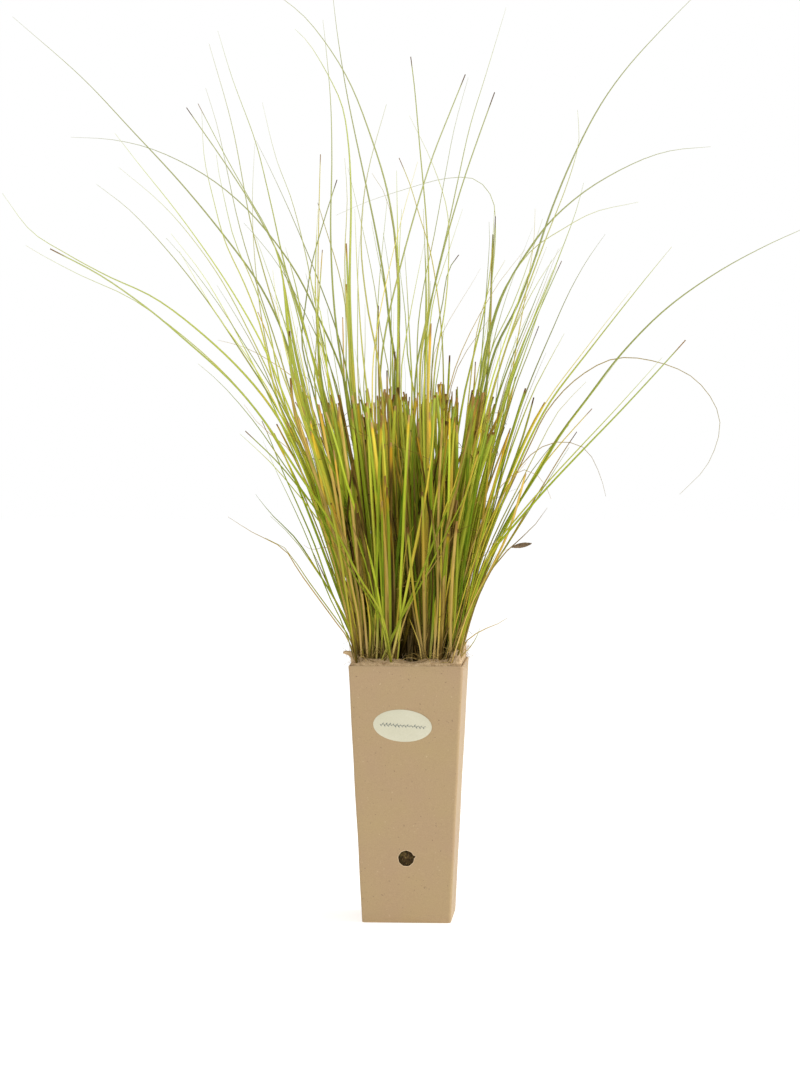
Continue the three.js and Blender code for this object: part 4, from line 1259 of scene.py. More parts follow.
# %% Outlines of the long leaves
# for each group: its lane, and its leaves: finish, tip, width, outline
LONG_LEAVES = {
    "left_leaf_sweeping": (-39, [
        ("fresh", "sheared", 2.4, [(-10, 201), (-22, 240), (-40, 270), (-60, 309), (-92, 358), (-115, 393),
            (-140, 423), (-180, 459), (-205, 480), (-245, 508), (-285, 529)])]),
    "left_leaves_low": (-39, [
        ("fresh", "fine", 2.2, [(-37, 201), (-46, 225), (-58, 250), (-72, 273), (-90, 300), (-110, 320),
            (-122, 335)]),
        ("rust", "fine", 1.3, [(-38, 201), (-48, 219), (-60, 236), (-87, 273), (-99, 291), (-125, 305),
            (-144, 317)])]),
    "left_leaves_cut": (-34, [
        ("fresh", "sheared", 2.2, [(-35, 201), (-48, 228), (-62, 258), (-76, 297), (-88, 325), (-100, 352),
            (-112, 382), (-117, 393)]),
        ("lime", "sheared", 1.9, [(-32, 201), (-46, 260), (-65, 310), (-85, 337), (-105, 361),
            (-130, 385)])]),
    "left_leaves_outer": (-21, [
        ("olive", "fine", 1.9, [(-34, 201), (-50, 255), (-70, 325), (-90, 375), (-110, 412), (-135, 451),
            (-160, 488), (-190, 526), (-222, 560), (-248, 580)]),
        ("pale", "fine", 1.7, [(-36, 201), (-55, 270), (-75, 340), (-102, 410), (-120, 449), (-150, 506),
            (-180, 547), (-200, 568), (-230, 593)]),
        ("lime", "fine", 1.9, [(-32, 201), (-52, 280), (-75, 355), (-98, 410), (-115, 451), (-143, 500),
            (-180, 553), (-215, 597), (-233, 620)]),
        ("rust", "fine", 1.2, [(-30, 201), (-42, 280), (-60, 350), (-85, 420), (-108, 439), (-130, 451),
            (-152, 457)])]),
    "left_leaf_widest": (-3, [
        ("lime", "fine", 2.5, [(-38, 201), (-52, 255), (-70, 322), (-95, 380), (-113, 409), (-140, 440),
            (-180, 475), (-205, 492), (-240, 508), (-275, 527), (-300, 543), (-323, 573)])]),
    "left_leaf_arching": (-1, [
        ("olive", "fine", 2.1, [(-20, 201), (-30, 280), (-40, 360), (-52, 428), (-73, 478), (-88, 508),
            (-102, 529), (-128, 560), (-160, 586), (-202, 607), (-235, 615), (-268, 617)])]),
    "left_leaves_upright": (1, [
        ("lime", "fine", 2.1, [(-35, 201), (-60, 290), (-85, 360), (-105, 412), (-118, 468), (-130, 500),
            (-146, 535), (-155, 568), (-162, 600), (-164, 638)]),
        ("pale", "fine", 1.8, [(-33, 201), (-58, 290), (-82, 370), (-102, 412), (-116, 468), (-123, 530),
            (-124, 570), (-122, 612)])]),
    "left_leaf_longest": (15, [
        ("olive", "fine", 2.0, [(-24, 201), (-45, 270), (-68, 350), (-88, 425), (-103, 470), (-120, 503),
            (-147, 540), (-180, 580), (-220, 623), (-258, 663), (-314, 712)])]),
    "left_leaves_sheared": (17, [
        ("olive", "sheared", 1.9, [(-32, 201), (-48, 300), (-65, 390), (-83, 468), (-100, 517), (-120, 556),
            (-140, 588), (-176, 640)]),
        ("lime", "sheared", 1.5, [(-30, 201), (-45, 300), (-63, 385), (-80, 440), (-92, 490), (-111, 541),
            (-128, 571), (-146, 603), (-167, 643)])]),
    "left_leaves_crossing": (20, [
        ("olive", "sheared", 1.9, [(-37, 201), (-55, 320), (-75, 412), (-85, 455), (-82, 485), (-77, 517),
            (-67, 552), (-57, 583)]),
        ("gold", "sheared", 1.7, [(-36, 201), (-50, 320), (-70, 415), (-72, 510), (-71, 568), (-70, 603)])]),
    "left_leaves_back": (33, [
        ("lime", "fine", 2.0, [(-25, 201), (-42, 300), (-60, 390), (-86, 475), (-98, 515), (-110, 568),
            (-121, 612), (-140, 664), (-151, 700)]),
        ("pale", "fine", 1.6, [(-28, 201), (-58, 300), (-80, 385), (-97, 450), (-112, 500), (-125, 548),
            (-140, 626), (-158, 690)])]),
    "left_leaves_fine": (37, [
        ("pale", "fine", 1.7, [(-22, 201), (-38, 300), (-55, 380), (-73, 480), (-83, 530), (-93, 568),
            (-105, 600), (-116, 644)]),
        ("olive", "fine", 1.7, [(-20, 201), (-35, 320), (-52, 445), (-71, 502), (-92, 553), (-110, 592),
            (-121, 614)])]),
    "middle_leaves_tallest": (-3, [
        ("olive", "fine", 2.3, [(-11, 201), (-10, 300), (-10, 420), (-8, 500), (-16, 568), (-30, 616),
            (-50, 665), (-80, 708), (-100, 725), (-118, 737)]),
        ("olive", "fine", 2.3, [(-10.5, 201), (-9, 320), (-9, 425), (-15, 465), (-19, 500), (-26, 540),
            (-35, 583), (-43, 620), (-50, 655), (-57, 700), (-61, 735)])]),
    "middle_leaves_broad": (17, [
        ("lime", "fine", 3.0, [(-20, 201), (-32, 300), (-42, 400), (-47, 490), (-46, 570), (-48, 611),
            (-53, 641), (-64, 665), (-80, 691), (-90, 701)]),
        ("olive", "fine", 2.2, [(-22, 201), (-36, 320), (-51, 420), (-59, 480), (-62, 540), (-61, 600),
            (-62, 645), (-66, 690), (-68, 708)])]),
    "middle_leaves_leaning": (-21, [
        ("pale", "fine", 2.0, [(-12, 201), (-18, 330), (-23, 430), (-33, 483), (-38, 530), (-36, 568),
            (-31, 596), (-18, 642)]),
        ("olive", "sheared", 2.1, [(-14, 201), (-22, 320), (-23, 430), (-18, 468), (-7, 515), (4, 555),
            (18, 600), (33, 638), (44, 665)])]),
    "middle_leaves_sheared": (-17, [
        ("lime", "sheared", 1.9, [(14.5, 201), (12, 300), (9, 440), (15, 480), (15, 515), (13, 555), (8, 610),
            (4, 655), (1, 679)]),
        ("olive", "sheared", 2.1, [(14, 201), (6, 320), (5, 430), (11, 462), (20, 500), (31, 543), (43, 583),
            (54, 615), (67, 651)])]),
    "middle_leaves_crossed": (15, [
        ("pale", "fine", 1.7, [(24, 201), (20, 330), (20, 430), (28, 480), (31, 515), (30, 558), (18, 596),
            (0, 633)]),
        ("gold", "sheared", 1.7, [(22, 201), (25, 320), (27, 430), (25, 470), (17, 525), (8, 555), (0, 581),
            (-8, 600)])]),
    "middle_leaves_tall": (35, [
        ("fresh", "sheared", 1.9, [(18, 201), (17, 330), (19, 450), (26, 485), (31, 512), (39, 524)]),
        ("olive", "fine", 1.8, [(16, 201), (13, 340), (14, 462), (20, 500), (29, 538), (39, 585), (48, 625),
            (60, 664), (76, 717)])]),
    "front_leaves_crossing": (-37, [
        ("fresh", "fine", 2.3, [(-20, 201), (-12, 225), (5, 262), (22, 305), (38, 345), (48, 385),
            (52, 412)]),
        ("gilded", "fine", 3.0, [(-14, 201), (-7, 235), (2, 280), (12, 330), (18, 370), (20, 402)])]),
    "right_leaf_looping": (39, [
        ("pale", "fine", 1.1, [(32, 201), (45, 300), (58, 420), (65, 500), (68, 545), (65, 569), (52, 583),
            (30, 584), (-8, 574), (-35, 565), (-58, 555)])]),
    "right_leaf_broad": (35, [
        ("olive", "sheared", 2.7, [(36, 201), (48, 300), (61, 415), (63, 455), (65, 500), (67, 535),
            (68, 554)])]),
    "right_leaf_tallest": (33, [
        ("olive", "fine", 2.5, [(30, 201), (42, 300), (56, 400), (68, 450), (83, 480), (95, 510), (112, 560),
            (130, 603), (150, 641), (170, 669), (200, 702), (240, 742)])]),
    "right_leaves_arching": (15, [
        ("olive", "fine", 2.4, [(32, 201), (42, 310), (54, 400), (66, 470), (77, 500), (92, 525), (110, 549),
            (140, 575), (180, 597), (205, 605), (236, 608)]),
        ("pale", "fine", 1.6, [(30, 201), (38, 310), (55, 420), (70, 486), (84, 512), (98, 529), (119, 543),
            (145, 557), (180, 565)])]),
    "right_leaves_fine": (19, [
        ("olive", "fine", 1.6, [(38, 201), (60, 300), (80, 380), (94, 421), (113, 466), (126, 495),
            (140, 520), (154, 540)]),
        ("gold", "fine", 1.7, [(36, 201), (55, 320), (76, 400), (85, 455), (93, 500), (98, 535),
            (99, 560)])]),
    "right_leaves_steep": (-3, [
        ("lime", "fine", 2.1, [(36, 201), (52, 300), (75, 412), (88, 450), (105, 490), (120, 528), (131, 558),
            (137, 580)]),
        ("pale", "fine", 2.0, [(33, 201), (48, 310), (62, 400), (80, 462), (95, 503), (108, 538), (125, 582),
            (133, 612), (132, 637)])]),
    "right_leaves_sheared": (1, [
        ("fresh", "sheared", 2.1, [(34, 201), (52, 310), (78, 415), (95, 462), (110, 497), (120, 519)]),
        ("olive", "sheared", 2.0, [(37, 201), (55, 310), (82, 415), (95, 450), (102, 468)]),
        ("pale", "fine", 1.8, [(31, 201), (45, 320), (62, 400), (75, 447), (91, 483), (103, 505),
            (120, 530)])]),
    "right_leaf_widest": (-21, [
        ("olive", "fine", 2.1, [(39, 201), (57, 268), (75, 310), (100, 350), (120, 384), (140, 411),
            (165, 444), (200, 480), (240, 509), (280, 531), (325, 551)])]),
    "right_leaves_outer": (-19, [
        ("lime", "fine", 2.3, [(36, 201), (54, 275), (78, 340), (98, 385), (112, 410), (140, 447), (180, 498),
            (206, 530)]),
        ("gold", "sheared", 1.9, [(38, 201), (56, 262), (76, 308), (98, 348), (119, 375), (144, 403)])]),
    "right_leaf_bowed": (-15, [
        ("rust", "fine", 1.1, [(33, 201), (58, 290), (84, 350), (97, 378), (108, 400), (130, 425), (160, 442),
            (190, 441), (225, 426), (244, 395), (235, 360), (213, 336)])]),
    "right_leaves_spreading": (-37, [
        ("fresh", "sheared", 2.3, [(37, 201), (50, 250), (66, 290), (82, 310), (109, 341), (140, 374),
            (165, 400), (200, 438), (217, 457)]),
        ("straw", "sheared", 2.0, [(39, 201), (56, 258), (82, 304), (105, 342), (122, 370), (132, 385)])]),
    "right_leaves_hooked": (-32.5, [
        ("rust", "fine", 1.1, [(32, 201), (58, 300), (84, 352), (100, 370), (118, 377), (138, 372),
            (150, 352), (155, 334)]),
        ("straw", "fine", 1.1, [(30, 201), (52, 300), (76, 346), (92, 355), (105, 347), (112, 332)])]),
}

# %% [markdown]
# Between the long leaves stand lesser ones, many of them short and cut. The frame has no nodes
# for these, so each is listed with the group that it grows with. Only the upper run is drawn.
# The lower run is worked out: it closes in towards the soil as the tuft does.

# %% Lesser leaves that grow with a group
# for each group: finish, tip, width, upper run
LESSER_LEAVES = {
    "left_leaves_low": [("lime", "cut", 2.6, [(-93, 427), (-95, 464)])],
    "left_leaves_cut": [
        ("straw", "cut", 2.4, [(-91, 400), (-94, 427)]),
        ("rust", "fine", 1.2, [(-95, 370), (-117, 388), (-131, 406)])],
    "left_leaves_outer": [
        ("pale", "cut", 1.3, [(-110, 455), (-120, 479)]),
        ("pale", "fine", 1.2, [(-112, 418), (-155, 481), (-182, 527)])],
    "left_leaves_back": [("gold", "cut", 1.4, [(-44, 412), (-52, 495), (-72, 565)])],
    "middle_leaves_broad": [
        ("fresh", "cut", 2.2, [(-46, 412), (-48, 480), (-50, 533)]),
        ("pale", "cut", 2.4, [(-43, 412), (-50, 501)])],
    "left_leaves_fine": [("rust", "cut", 1.4, [(-50, 412), (-52.5, 475)])],
    "left_leaves_crossing": [("pale", "cut", 1.2, [(-74, 412), (-73, 460), (-68.5, 528)])],
    "middle_leaves_leaning": [
        ("rust", "cut", 1.3, [(-24, 412), (-24.5, 484)]),
        ("rust", "cut", 1.7, [(-17, 405), (-17.5, 433)])],
    "middle_leaves_tallest": [
        ("fresh", "cut", 1.9, [(-12, 405), (-11.5, 448)]),
        ("rust", "fine", 1.2, [(-8, 470), (-17, 566), (-29.5, 588)]),
        ("lime", "fine", 2.4, [(-9, 440), (-9, 520), (-10, 590)])],
    "middle_leaves_sheared": [
        ("gold", "cut", 2.4, [(15, 412), (17, 470)]),
        ("lime", "fine", 2.4, [(12, 412), (13, 500), (11, 560)])],
    "middle_leaves_crossed": [
        ("half_dead", "cut", 2.0, [(30, 405), (32, 445)]),
        ("rust", "fine", 1.1, [(18, 412), (20, 448), (56, 513)])],
    "right_leaf_broad": [("straw", "cut", 1.8, [(60, 415), (66, 540)])],
    "right_leaf_looping": [
        ("olive", "cut", 2.0, [(50, 412), (52, 440)]),
        ("lime", "fine", 2.0, [(60, 430), (76, 490), (97, 545)])],
    "right_leaves_arching": [
        ("rust", "fine", 1.1, [(33, 425), (66, 495), (91, 528)]),
        ("rust", "fine", 1.1, [(36, 430), (64, 475)])],
    "right_leaves_steep": [
        ("fresh", "cut", 2.6, [(80, 380), (92, 419)]),
        ("fresh", "fine", 2.2, [(70, 412), (92, 470), (112, 520)])],
    "right_leaves_sheared": [("pale", "cut", 2.2, [(89, 380), (98, 412)])],
    "right_leaves_outer": [
        ("fresh", "cut", 2.2, [(92, 380), (107, 408)]),
        ("olive", "cut", 1.8, [(108, 366), (126, 393)])],
    "right_leaves_spreading": [("rust", "fine", 1.5, [(72, 285), (98, 310), (109, 325)])],
    "right_leaves_fine": [("rust", "cut", 1.6, [(76, 395), (84, 428)])],
}
SPREAD_AT_CUT = 2.45           # how far a leaf has moved out where its upper run starts
BARE_MIDDLE = (-10.5, 14.5)    # the gap between the clumps, in mm
FEET_WITHIN = (-38, 36)        # and the felt's inner faces


def beside_gap(x):
    """Keeps a foot in mm out of the bare middle between the clumps, and inside the felt."""
    if BARE_MIDDLE[0] < x < BARE_MIDDLE[1]:
        x = BARE_MIDDLE[0] if x < sum(BARE_MIDDLE) / 2 else BARE_MIDDLE[1]
    return max(FEET_WITHIN[0], min(FEET_WITHIN[1], x))


def whole_outline(upper):
    """Completes an upper run down to the soil, closing in as the tuft does."""
    x, z = upper[0]
    foot = beside_gap(x / SPREAD_AT_CUT)
    middle = (foot + (x - foot) * 0.42, SOIL + (z - SOIL) * 0.52)
    return [(foot, SOIL), middle] + upper


print("lesser leaves:", sum(map(len, LESSER_LEAVES.values())))

# %% [markdown]
# Long leaves don't stand alone: each has a thinner neighbour that shares its foot and parts
# from it as it rises. So a neighbour is its leader's outline, moved sideways in proportion to
# its height and ended lower down.

# %% Neighbours of the long leaves
NEIGHBOURS = {"count": 1, "apart": 3.0, "parted": 120, "stray": 8.0, "lowest": 435, "least_below": 30,
              "depth": 3.0}
NEIGHBOUR_FINISHES = {"lime": 5, "fresh": 2, "olive": 3, "pale": 4, "gold": 1}
DEEPEST_LANE = 39


def neighbour_outline(outline, dice):
    """The leader's outline up to a lower end, drifting to one side as it rises."""
    top = max(z for x, z in outline)
    if top < NEIGHBOURS["lowest"] + NEIGHBOURS["least_below"]:
        end = top - dice.uniform(0, 25)
    else:
        end = dice.uniform(NEIGHBOURS["lowest"], top - NEIGHBOURS["least_below"])
    stray = dice.gauss(0, NEIGHBOURS["stray"])
    path = []
    for (x, z), (next_x, next_z) in zip(outline, outline[1:]):
        path.append((x, z))
        if next_z >= end:
            share = (end - z) / (next_z - z)
            path.append((x + (next_x - x) * share, end))
            break
    foot = beside_gap(path[0][0] + dice.gauss(0, NEIGHBOURS["apart"])) - path[0][0]
    return [(x + foot * max(0, 1 - (z - SOIL) / NEIGHBOURS["parted"]) + stray * (z - SOIL) / (CUT - SOIL), z)
            for x, z in path]


print("neighbours:", NEIGHBOURS["count"], "for each long leaf")

# %% [markdown]
# The brightest long leaves rise in front of the sheared ones, in loose bundles. They are
# listed by their upper run like the lesser leaves, and stand in the front half of the pot.

# %% Rising leaves in front
RISING_LANES = (-26, 0)
# for each group: finish, width, upper run
RISING_LEAVES = {
    "left_leaves_outer": [
        ("sunny", 3.8, [(-83, 402), (-89.5, 430), (-94, 453), (-97, 477), (-99, 500), (-103, 520),
            (-108, 535)]),
        ("sunny", 3.4, [(-80, 402), (-86, 430), (-91, 453), (-95, 477), (-98, 497), (-101, 512)]),
        ("pale", 2.6, [(-77, 402), (-83, 430), (-88, 453), (-93, 477), (-96, 492)]),
        ("fresh", 2.0, [(-85, 412), (-96, 461), (-108, 500), (-122, 540)]),
        ("pale", 1.8, [(-88, 412), (-98, 450), (-104, 480), (-108, 512)]),
        ("sunny", 3.0, [(-70, 412), (-76, 440), (-84, 469), (-90, 500), (-98, 530)]),
        ("fresh", 2.6, [(-67, 412), (-72, 450), (-74, 500), (-73, 540)]),
        ("sunny", 3.2, [(-66, 402), (-70, 430), (-71.5, 455), (-72, 480)]),
        ("pale", 1.8, [(-60, 412), (-71, 461), (-74, 485), (-74, 524), (-72, 560)]),
        ("sunny", 2.4, [(-63, 412), (-66, 450), (-70, 478), (-80, 510)]),
        ("pale", 2.0, [(-44, 412), (-49, 470), (-51, 520), (-49, 570), (-51, 600)]),
        ("sunny", 2.2, [(-40, 412), (-41, 470), (-40, 524), (-36, 560)]),
        ("fresh", 2.5, [(-49, 412), (-50, 470), (-52, 505)])],
    "middle_leaves_leaning": [
        ("pale", 2.2, [(-33, 412), (-38, 460), (-41, 510), (-43, 560)]),
        ("sunny", 2.4, [(-36, 412), (-35, 450), (-35, 485)]),
        ("fresh", 2.4, [(-13, 412), (-14, 461), (-18, 490), (-25, 524), (-30, 550)]),
        ("sunny", 2.5, [(-9, 412), (-9, 470), (-8, 524), (-6, 560)]),
        ("sunny", 2.4, [(-15, 412), (-13, 450), (-12, 482)])],
    "middle_leaves_sheared": [
        ("sunny", 2.4, [(2, 412), (0, 461), (-2, 500), (-4, 530)]),
        ("fresh", 2.4, [(4, 412), (-1, 440), (-3, 475), (-9, 524)]),
        ("sunny", 2.7, [(11, 412), (15, 461), (20, 493), (30, 524), (42, 560)]),
        ("pale", 2.4, [(14, 412), (14, 470), (13, 524)]),
        ("fresh", 2.4, [(20, 412), (24, 440), (28, 470)]),
        ("sunny", 2.5, [(43, 412), (52, 450), (60, 485), (65, 524), (67, 560)])],
    "right_leaves_outer": [
        ("fresh", 2.4, [(53, 412), (62, 461), (76, 500), (92, 524), (110, 549)]),
        ("sunny", 2.4, [(50, 412), (56, 440), (62, 475)]),
        ("sunny", 2.6, [(62, 412), (70, 440), (82, 475), (90, 500), (104, 530)]),
        ("pale", 2.2, [(64, 412), (76, 450), (92, 490), (108, 530)])],
    "right_leaf_widest": [
        ("olive", 2.6, [(79, 412), (92, 450), (104, 485), (116, 515)]),
        ("fresh", 2.4, [(76, 412), (88, 448), (100, 480), (113, 512)]),
        ("pale", 2.2, [(96, 412), (110, 440), (122, 462)])],
}

# %% Grow the long leaves
SLIM = 0.86       # a blade is a little slimmer than the frame's three-sided leaf
LANE_STEP = 2     # mm of depth between the leaves of a group
STRAP_FROM = 2.7  # mm; a rising leaf that is broader stays broad to its end
DARK_TONES, LONG_TONES = (0, 0.22), (0.15, 0.6)
for number, (group, (lane, outlines)) in enumerate(LONG_LEAVES.items()):
    dice = random.Random(100 + number)
    leaves = []
    for index, (finish, tip, width, outline) in enumerate(outlines):
        path = at_depth(outline, (lane + LANE_STEP * index) * MM)
        twist = dice.uniform(-0.3, 0.3)
        tone = dice.uniform(*(DARK_TONES if finish == "olive" else LONG_TONES))
        leaves.append(make_leaf(path, SLIM * width * MM, finish, tip, dice, 11 * MM, twist, tone=tone))
        for _ in range(NEIGHBOURS["count"]):
            beside = lane + LANE_STEP * index + dice.uniform(-1, 1) * NEIGHBOURS["depth"]
            beside = max(-DEEPEST_LANE, min(DEEPEST_LANE, beside))
            kind = dice.choices(list(NEIGHBOUR_FINISHES), list(NEIGHBOUR_FINISHES.values()))[0]
            path = at_depth(neighbour_outline(outline, dice), beside * MM)
            width = dice.uniform(0.9, 1.6)
            leaves.append(make_leaf(path, width * MM, kind, "fine", dice, tone=dice.uniform(0, 0.7)))
    for finish, tip, width, upper in LESSER_LEAVES.get(group, []):
        path = at_depth(whole_outline(upper), (lane + dice.uniform(-2.5, 2.5)) * MM)
        leaves.append(make_leaf(path, width * MM, finish, tip, dice, tone=dice.uniform(0, 0.7)))
    for finish, width, upper in RISING_LEAVES.get(group, []):
        path = at_depth(whole_outline(upper), dice.uniform(*RISING_LANES) * MM)
        tip = "strap" if width > STRAP_FROM else "fine"
        leaves.append(make_leaf(path, SLIM * width * MM, finish, tip, dice,
                                twist=dice.uniform(-0.4, 0.4), tone=dice.uniform(0.2, 0.75)))
    leaf_piece(f"{group}_blades", leaves, "long_leaf", group)
print("long leaves:", len(LONG_LEAVES), "groups")

# %% [markdown]
# ## The sheared shoots
# Twenty-four shoots make the dense lower tuft. No two leaves are alike, but all follow one
# rule, so they are grown by it and not drawn: a leaf starts near its shoot's foot, leans with
# the fan, bows a little, and ends near the cut with a scorched tip. A shoot's leaves end in a
# few small bundles. Nearly half are shorter, and those have more straw and brown among them.

# %% Rules of the shoots
CLUMP_COLUMNS = {"left": (-36, -24.5, -13), "right": (14, 25, 36)}   # feet in mm, left to right
CLUMP_ROWS = (-27, -9, 9, 27)                                        # and front to back
# where a column's shoots end at the cut: the middle, and how far to either side
TOPS = {-36: (-68, 17), -24.5: (-46, 16), -13: (-14, 22), 14: (15, 20), 25: (41, 18), 36: (68, 18)}
LEAVES_PER_ROW = {-27: 12, -9: 17, 9: 19, 27: 18}
BUNDLES = {"count": 3, "apart": 15, "loose": 3.2, "uneven": 2.4}
LEVELS = {"cut": CUT - 1, "middle": -3, "spread": 13, "lowest": -36, "highest": 7}
DROOP = {"from": 45, "slope": 1.1}    # the tuft is cut lower at its sides
STRAYING, SHORT = 0.24, 0.45          # shares of all leaves
BROAD_IN_FRONT, BROAD_BEHIND = 0.55, 0.35
TALL_MIX = {"fresh": 13, "lime": 5, "deep": 3, "amber": 5, "gold": 2, "straw": 2, "khaki": 4, "brown": 1,
            "half_dead": 4}
SHORT_MIX = {"fresh": 3, "lime": 1, "deep": 3, "amber": 6, "gold": 1, "straw": 4, "khaki": 7, "brown": 5,
             "dark": 4, "half_dead": 4}
EDGE_OF_SOIL = 38.5
TUFT_SIDES = (-104, 108)
SLITS = ((-50.5, 5.4), (44.0, 6.2))   # open places at the cut: middle and half width, mm
BY_GAP = 20       # columns nearer to the axis than this stand by the bare middle
RIM_CLEAR = 206   # mm, where a leaf may start to lean over the rim
print("sheared leaves in a column of shoots:", sum(LEAVES_PER_ROW.values()), "or more")

# %% [markdown]
# Little light reaches the foot of a leaf that stands behind others, and a render of blades
# alone doesn't darken there as much as a real tuft does. So each leaf is told how deep it
# stands, and its finish dims its foot by that.

# %% How one leaf stands
def lean(share):
    """How much of its sideways run a leaf has made at a share of its height."""
    return 0.52 * share + 0.48 * share * share


def foot_near(x, y, dice, reach):
    """A foot within reach of a shoot's own, kept inside the felt."""
    angle, away = dice.uniform(0, 2 * math.pi), reach * dice.random() ** 0.5
    foot_y = max(-EDGE_OF_SOIL, min(EDGE_OF_SOIL, y + away * math.sin(angle)))
    furthest_right = 36 - 0.07 * (foot_y + 30)   # further left towards the rear
    return min(beside_gap(x + away * math.cos(angle)), furthest_right), foot_y


def in_metres(*points):
    return [Vector(point) * MM for point in points]


def darkness(foot_y):
    """How much of the light is lost at a leaf's foot: little in the front row, most behind it."""
    return max(0.1, min(1, (foot_y + 36) / 22))


def leaning_leaf(foot, top, width, finish, tip, dice, bow=4.4, tone=None, inner=None):
    """A leaf between two places in mm, which leans as the tuft opens and bows a little."""
    bow_x, bow_y = dice.gauss(0, bow), dice.gauss(0, bow * 0.7)
    points = []
    for share in (0, 0.2, 0.4, 0.6, 0.8, 1):
        swing = math.sin(math.pi * share)
        points.append((foot[0] + (top[0] - foot[0]) * lean(share) + bow_x * swing,
                       foot[1] + (top[1] - foot[1]) * lean(share) + bow_y * swing,
                       foot[2] + (top[2] - foot[2]) * share))
    return make_leaf(in_metres(*points), width * MM, finish, tip, dice, tone=tone,
                     inner=darkness(foot[1]) if inner is None else inner)


print("lean at half height:", lean(0.5), "darkness at the middle:", darkness(0))

# %% [markdown]
# In two places the tuft stands open at the cut, and the light behind it shows. Leaves that
# are placed at random would close such slits, so a leaf whose top would be seen in one is
# moved to its edge.

# %% The sheared leaves
def bundle_tops(centre, dice):
    """Where a shoot's leaves end in small bundles, each cut at a level of its own."""
    tops = []
    for _ in range(BUNDLES["count"]):
        x = centre + dice.uniform(-1, 1) * BUNDLES["apart"]
        off = dice.gauss(LEVELS["middle"], LEVELS["spread"])
        level = LEVELS["cut"] + max(LEVELS["lowest"], min(LEVELS["highest"], off))
        outside = max(0, x - DROOP["from"]) + max(0, -DROOP["from"] - x)
        tops.append((x, level - DROOP["slope"] * outside * dice.random()))
    return tops


def beside_slit(x, y):
    """Moves a place in mm sideways until the camera sees it beside the open slits of the tuft."""
    share = (y * MM - STATION.y) / -STATION.y
    across = STATION.x / MM
    seen = across + (x - across) / share
    for middle, half in SLITS:
        if abs(seen - middle) < half:
            seen = middle + math.copysign(half, seen - middle)
    return across + (seen - across) * share


def sheared_leaf(x, y, tops, dice):
    """One leaf of a shoot, in mm; it ends in one of the shoot's bundles, or on its own below."""
    foot_x, foot_y = foot_near(x, y, dice, 4.2 if abs(x) < BY_GAP else 5)
    top_x, top_z = dice.choice(tops)
    top_x += dice.gauss(0, BUNDLES["loose"]) + 0.3 * (foot_x - x)
    top_z += dice.gauss(0, BUNDLES["uneven"])
    if dice.random() < STRAYING:
        top_x += dice.choice([-1, 1]) * dice.uniform(8, 30)
    top_y = foot_y * opening(SPREAD_UNIT) * dice.uniform(0.8, 1.02) + dice.gauss(0, 5)
    mix, tone = TALL_MIX, dice.uniform(0.15, 0.9)
    if dice.random() < SHORT:
        lower = 16 + 82 * dice.random() ** 1.4
        top_x = foot_x + (top_x - foot_x) * lean(1 - lower / (top_z - SOIL))
        top_z -= lower
        # painted shade: a short leaf, which ends low inside the tuft, gets a darker tone
        mix, tone = SHORT_MIX, dice.uniform(0, 0.7)
    finish = dice.choices(list(mix), list(mix.values()))[0]
    broad = dice.random() < (BROAD_IN_FRONT if foot_y < -18 else BROAD_BEHIND)
    width = dice.uniform(2.5, 3.8) if broad else dice.uniform(1.2, 2.3)
    top = (max(TUFT_SIDES[0], min(TUFT_SIDES[1], beside_slit(top_x, top_y))), top_y, top_z)
    return leaning_leaf((foot_x, foot_y, FOOT_LEVEL / MM), top, width, finish, "cut", dice, tone=tone)


print("open slits:", len(SLITS))

# %% [markdown]
# Low in the tuft lies what died: short leaves bent outwards, brown ones in the gap between
# the clumps, and curly threads. They hide how regular the shoots are. A thread is a random
# walk that keeps most of its heading at each step, so that it curls and doesn't zigzag.

# %% Dead leaves and threads
def thatch_leaf(x, y, dice):
    """A short dead leaf that is left at the foot of a shoot."""
    foot_x, foot_y = foot_near(x, y, dice, 6.5)
    rise = dice.uniform(14, 95)
    reach = 1 + 0.008 * rise
    tip_x = foot_x * reach + dice.gauss(0, 0.09) * rise
    tip_y = foot_y * reach + dice.gauss(0, 0.07) * rise
    middle = ((foot_x + tip_x) / 2 + dice.gauss(0, 1.2), (foot_y + tip_y) / 2, RIM_CLEAR + rise * 0.55)
    points = in_metres((foot_x, foot_y, FOOT_LEVEL / MM), (foot_x, foot_y, RIM_CLEAR), middle,
                       (tip_x, tip_y, RIM_CLEAR + rise))
    finish = dice.choice(["straw", "brown", "half_dead", "straw" if abs(x) > 30 else "dark"])
    return make_leaf(points, dice.uniform(1.4, 3.0) * MM, finish, "fine", dice, inner=darkness(foot_y))


def heart_leaf(x, y, dice):
    """A brown leaf that half fills the shaded gap between the clumps."""
    foot_x = dice.uniform(-0.3, 1) * x
    foot_y = min(EDGE_OF_SOIL, y + dice.uniform(-6, 12))
    rise = dice.uniform(60, 205)
    top_x = foot_x * (1 + rise / 150) + dice.gauss(0, 0.06) * rise
    foot = (foot_x, foot_y, FOOT_LEVEL / MM)
    top = (top_x, foot_y * opening(rise * MM), foot[2] + rise)
    width, finish = dice.uniform(2.4, 4.3), dice.choice(["brown", "khaki"])
    return leaning_leaf(foot, top, width, finish, "cut", dice, inner=0.0)


def any_heading(dice, depth, upward, spread):
    return Vector((dice.gauss(0, 1), dice.gauss(0, depth), dice.gauss(upward, spread))).normalized()


def curl(heading, dice, depth):
    """The heading of a thread's next step."""
    stray = Vector((dice.gauss(0, 1), dice.gauss(0, depth), dice.gauss(0, 1)))
    return (heading + 0.5 * stray).normalized()


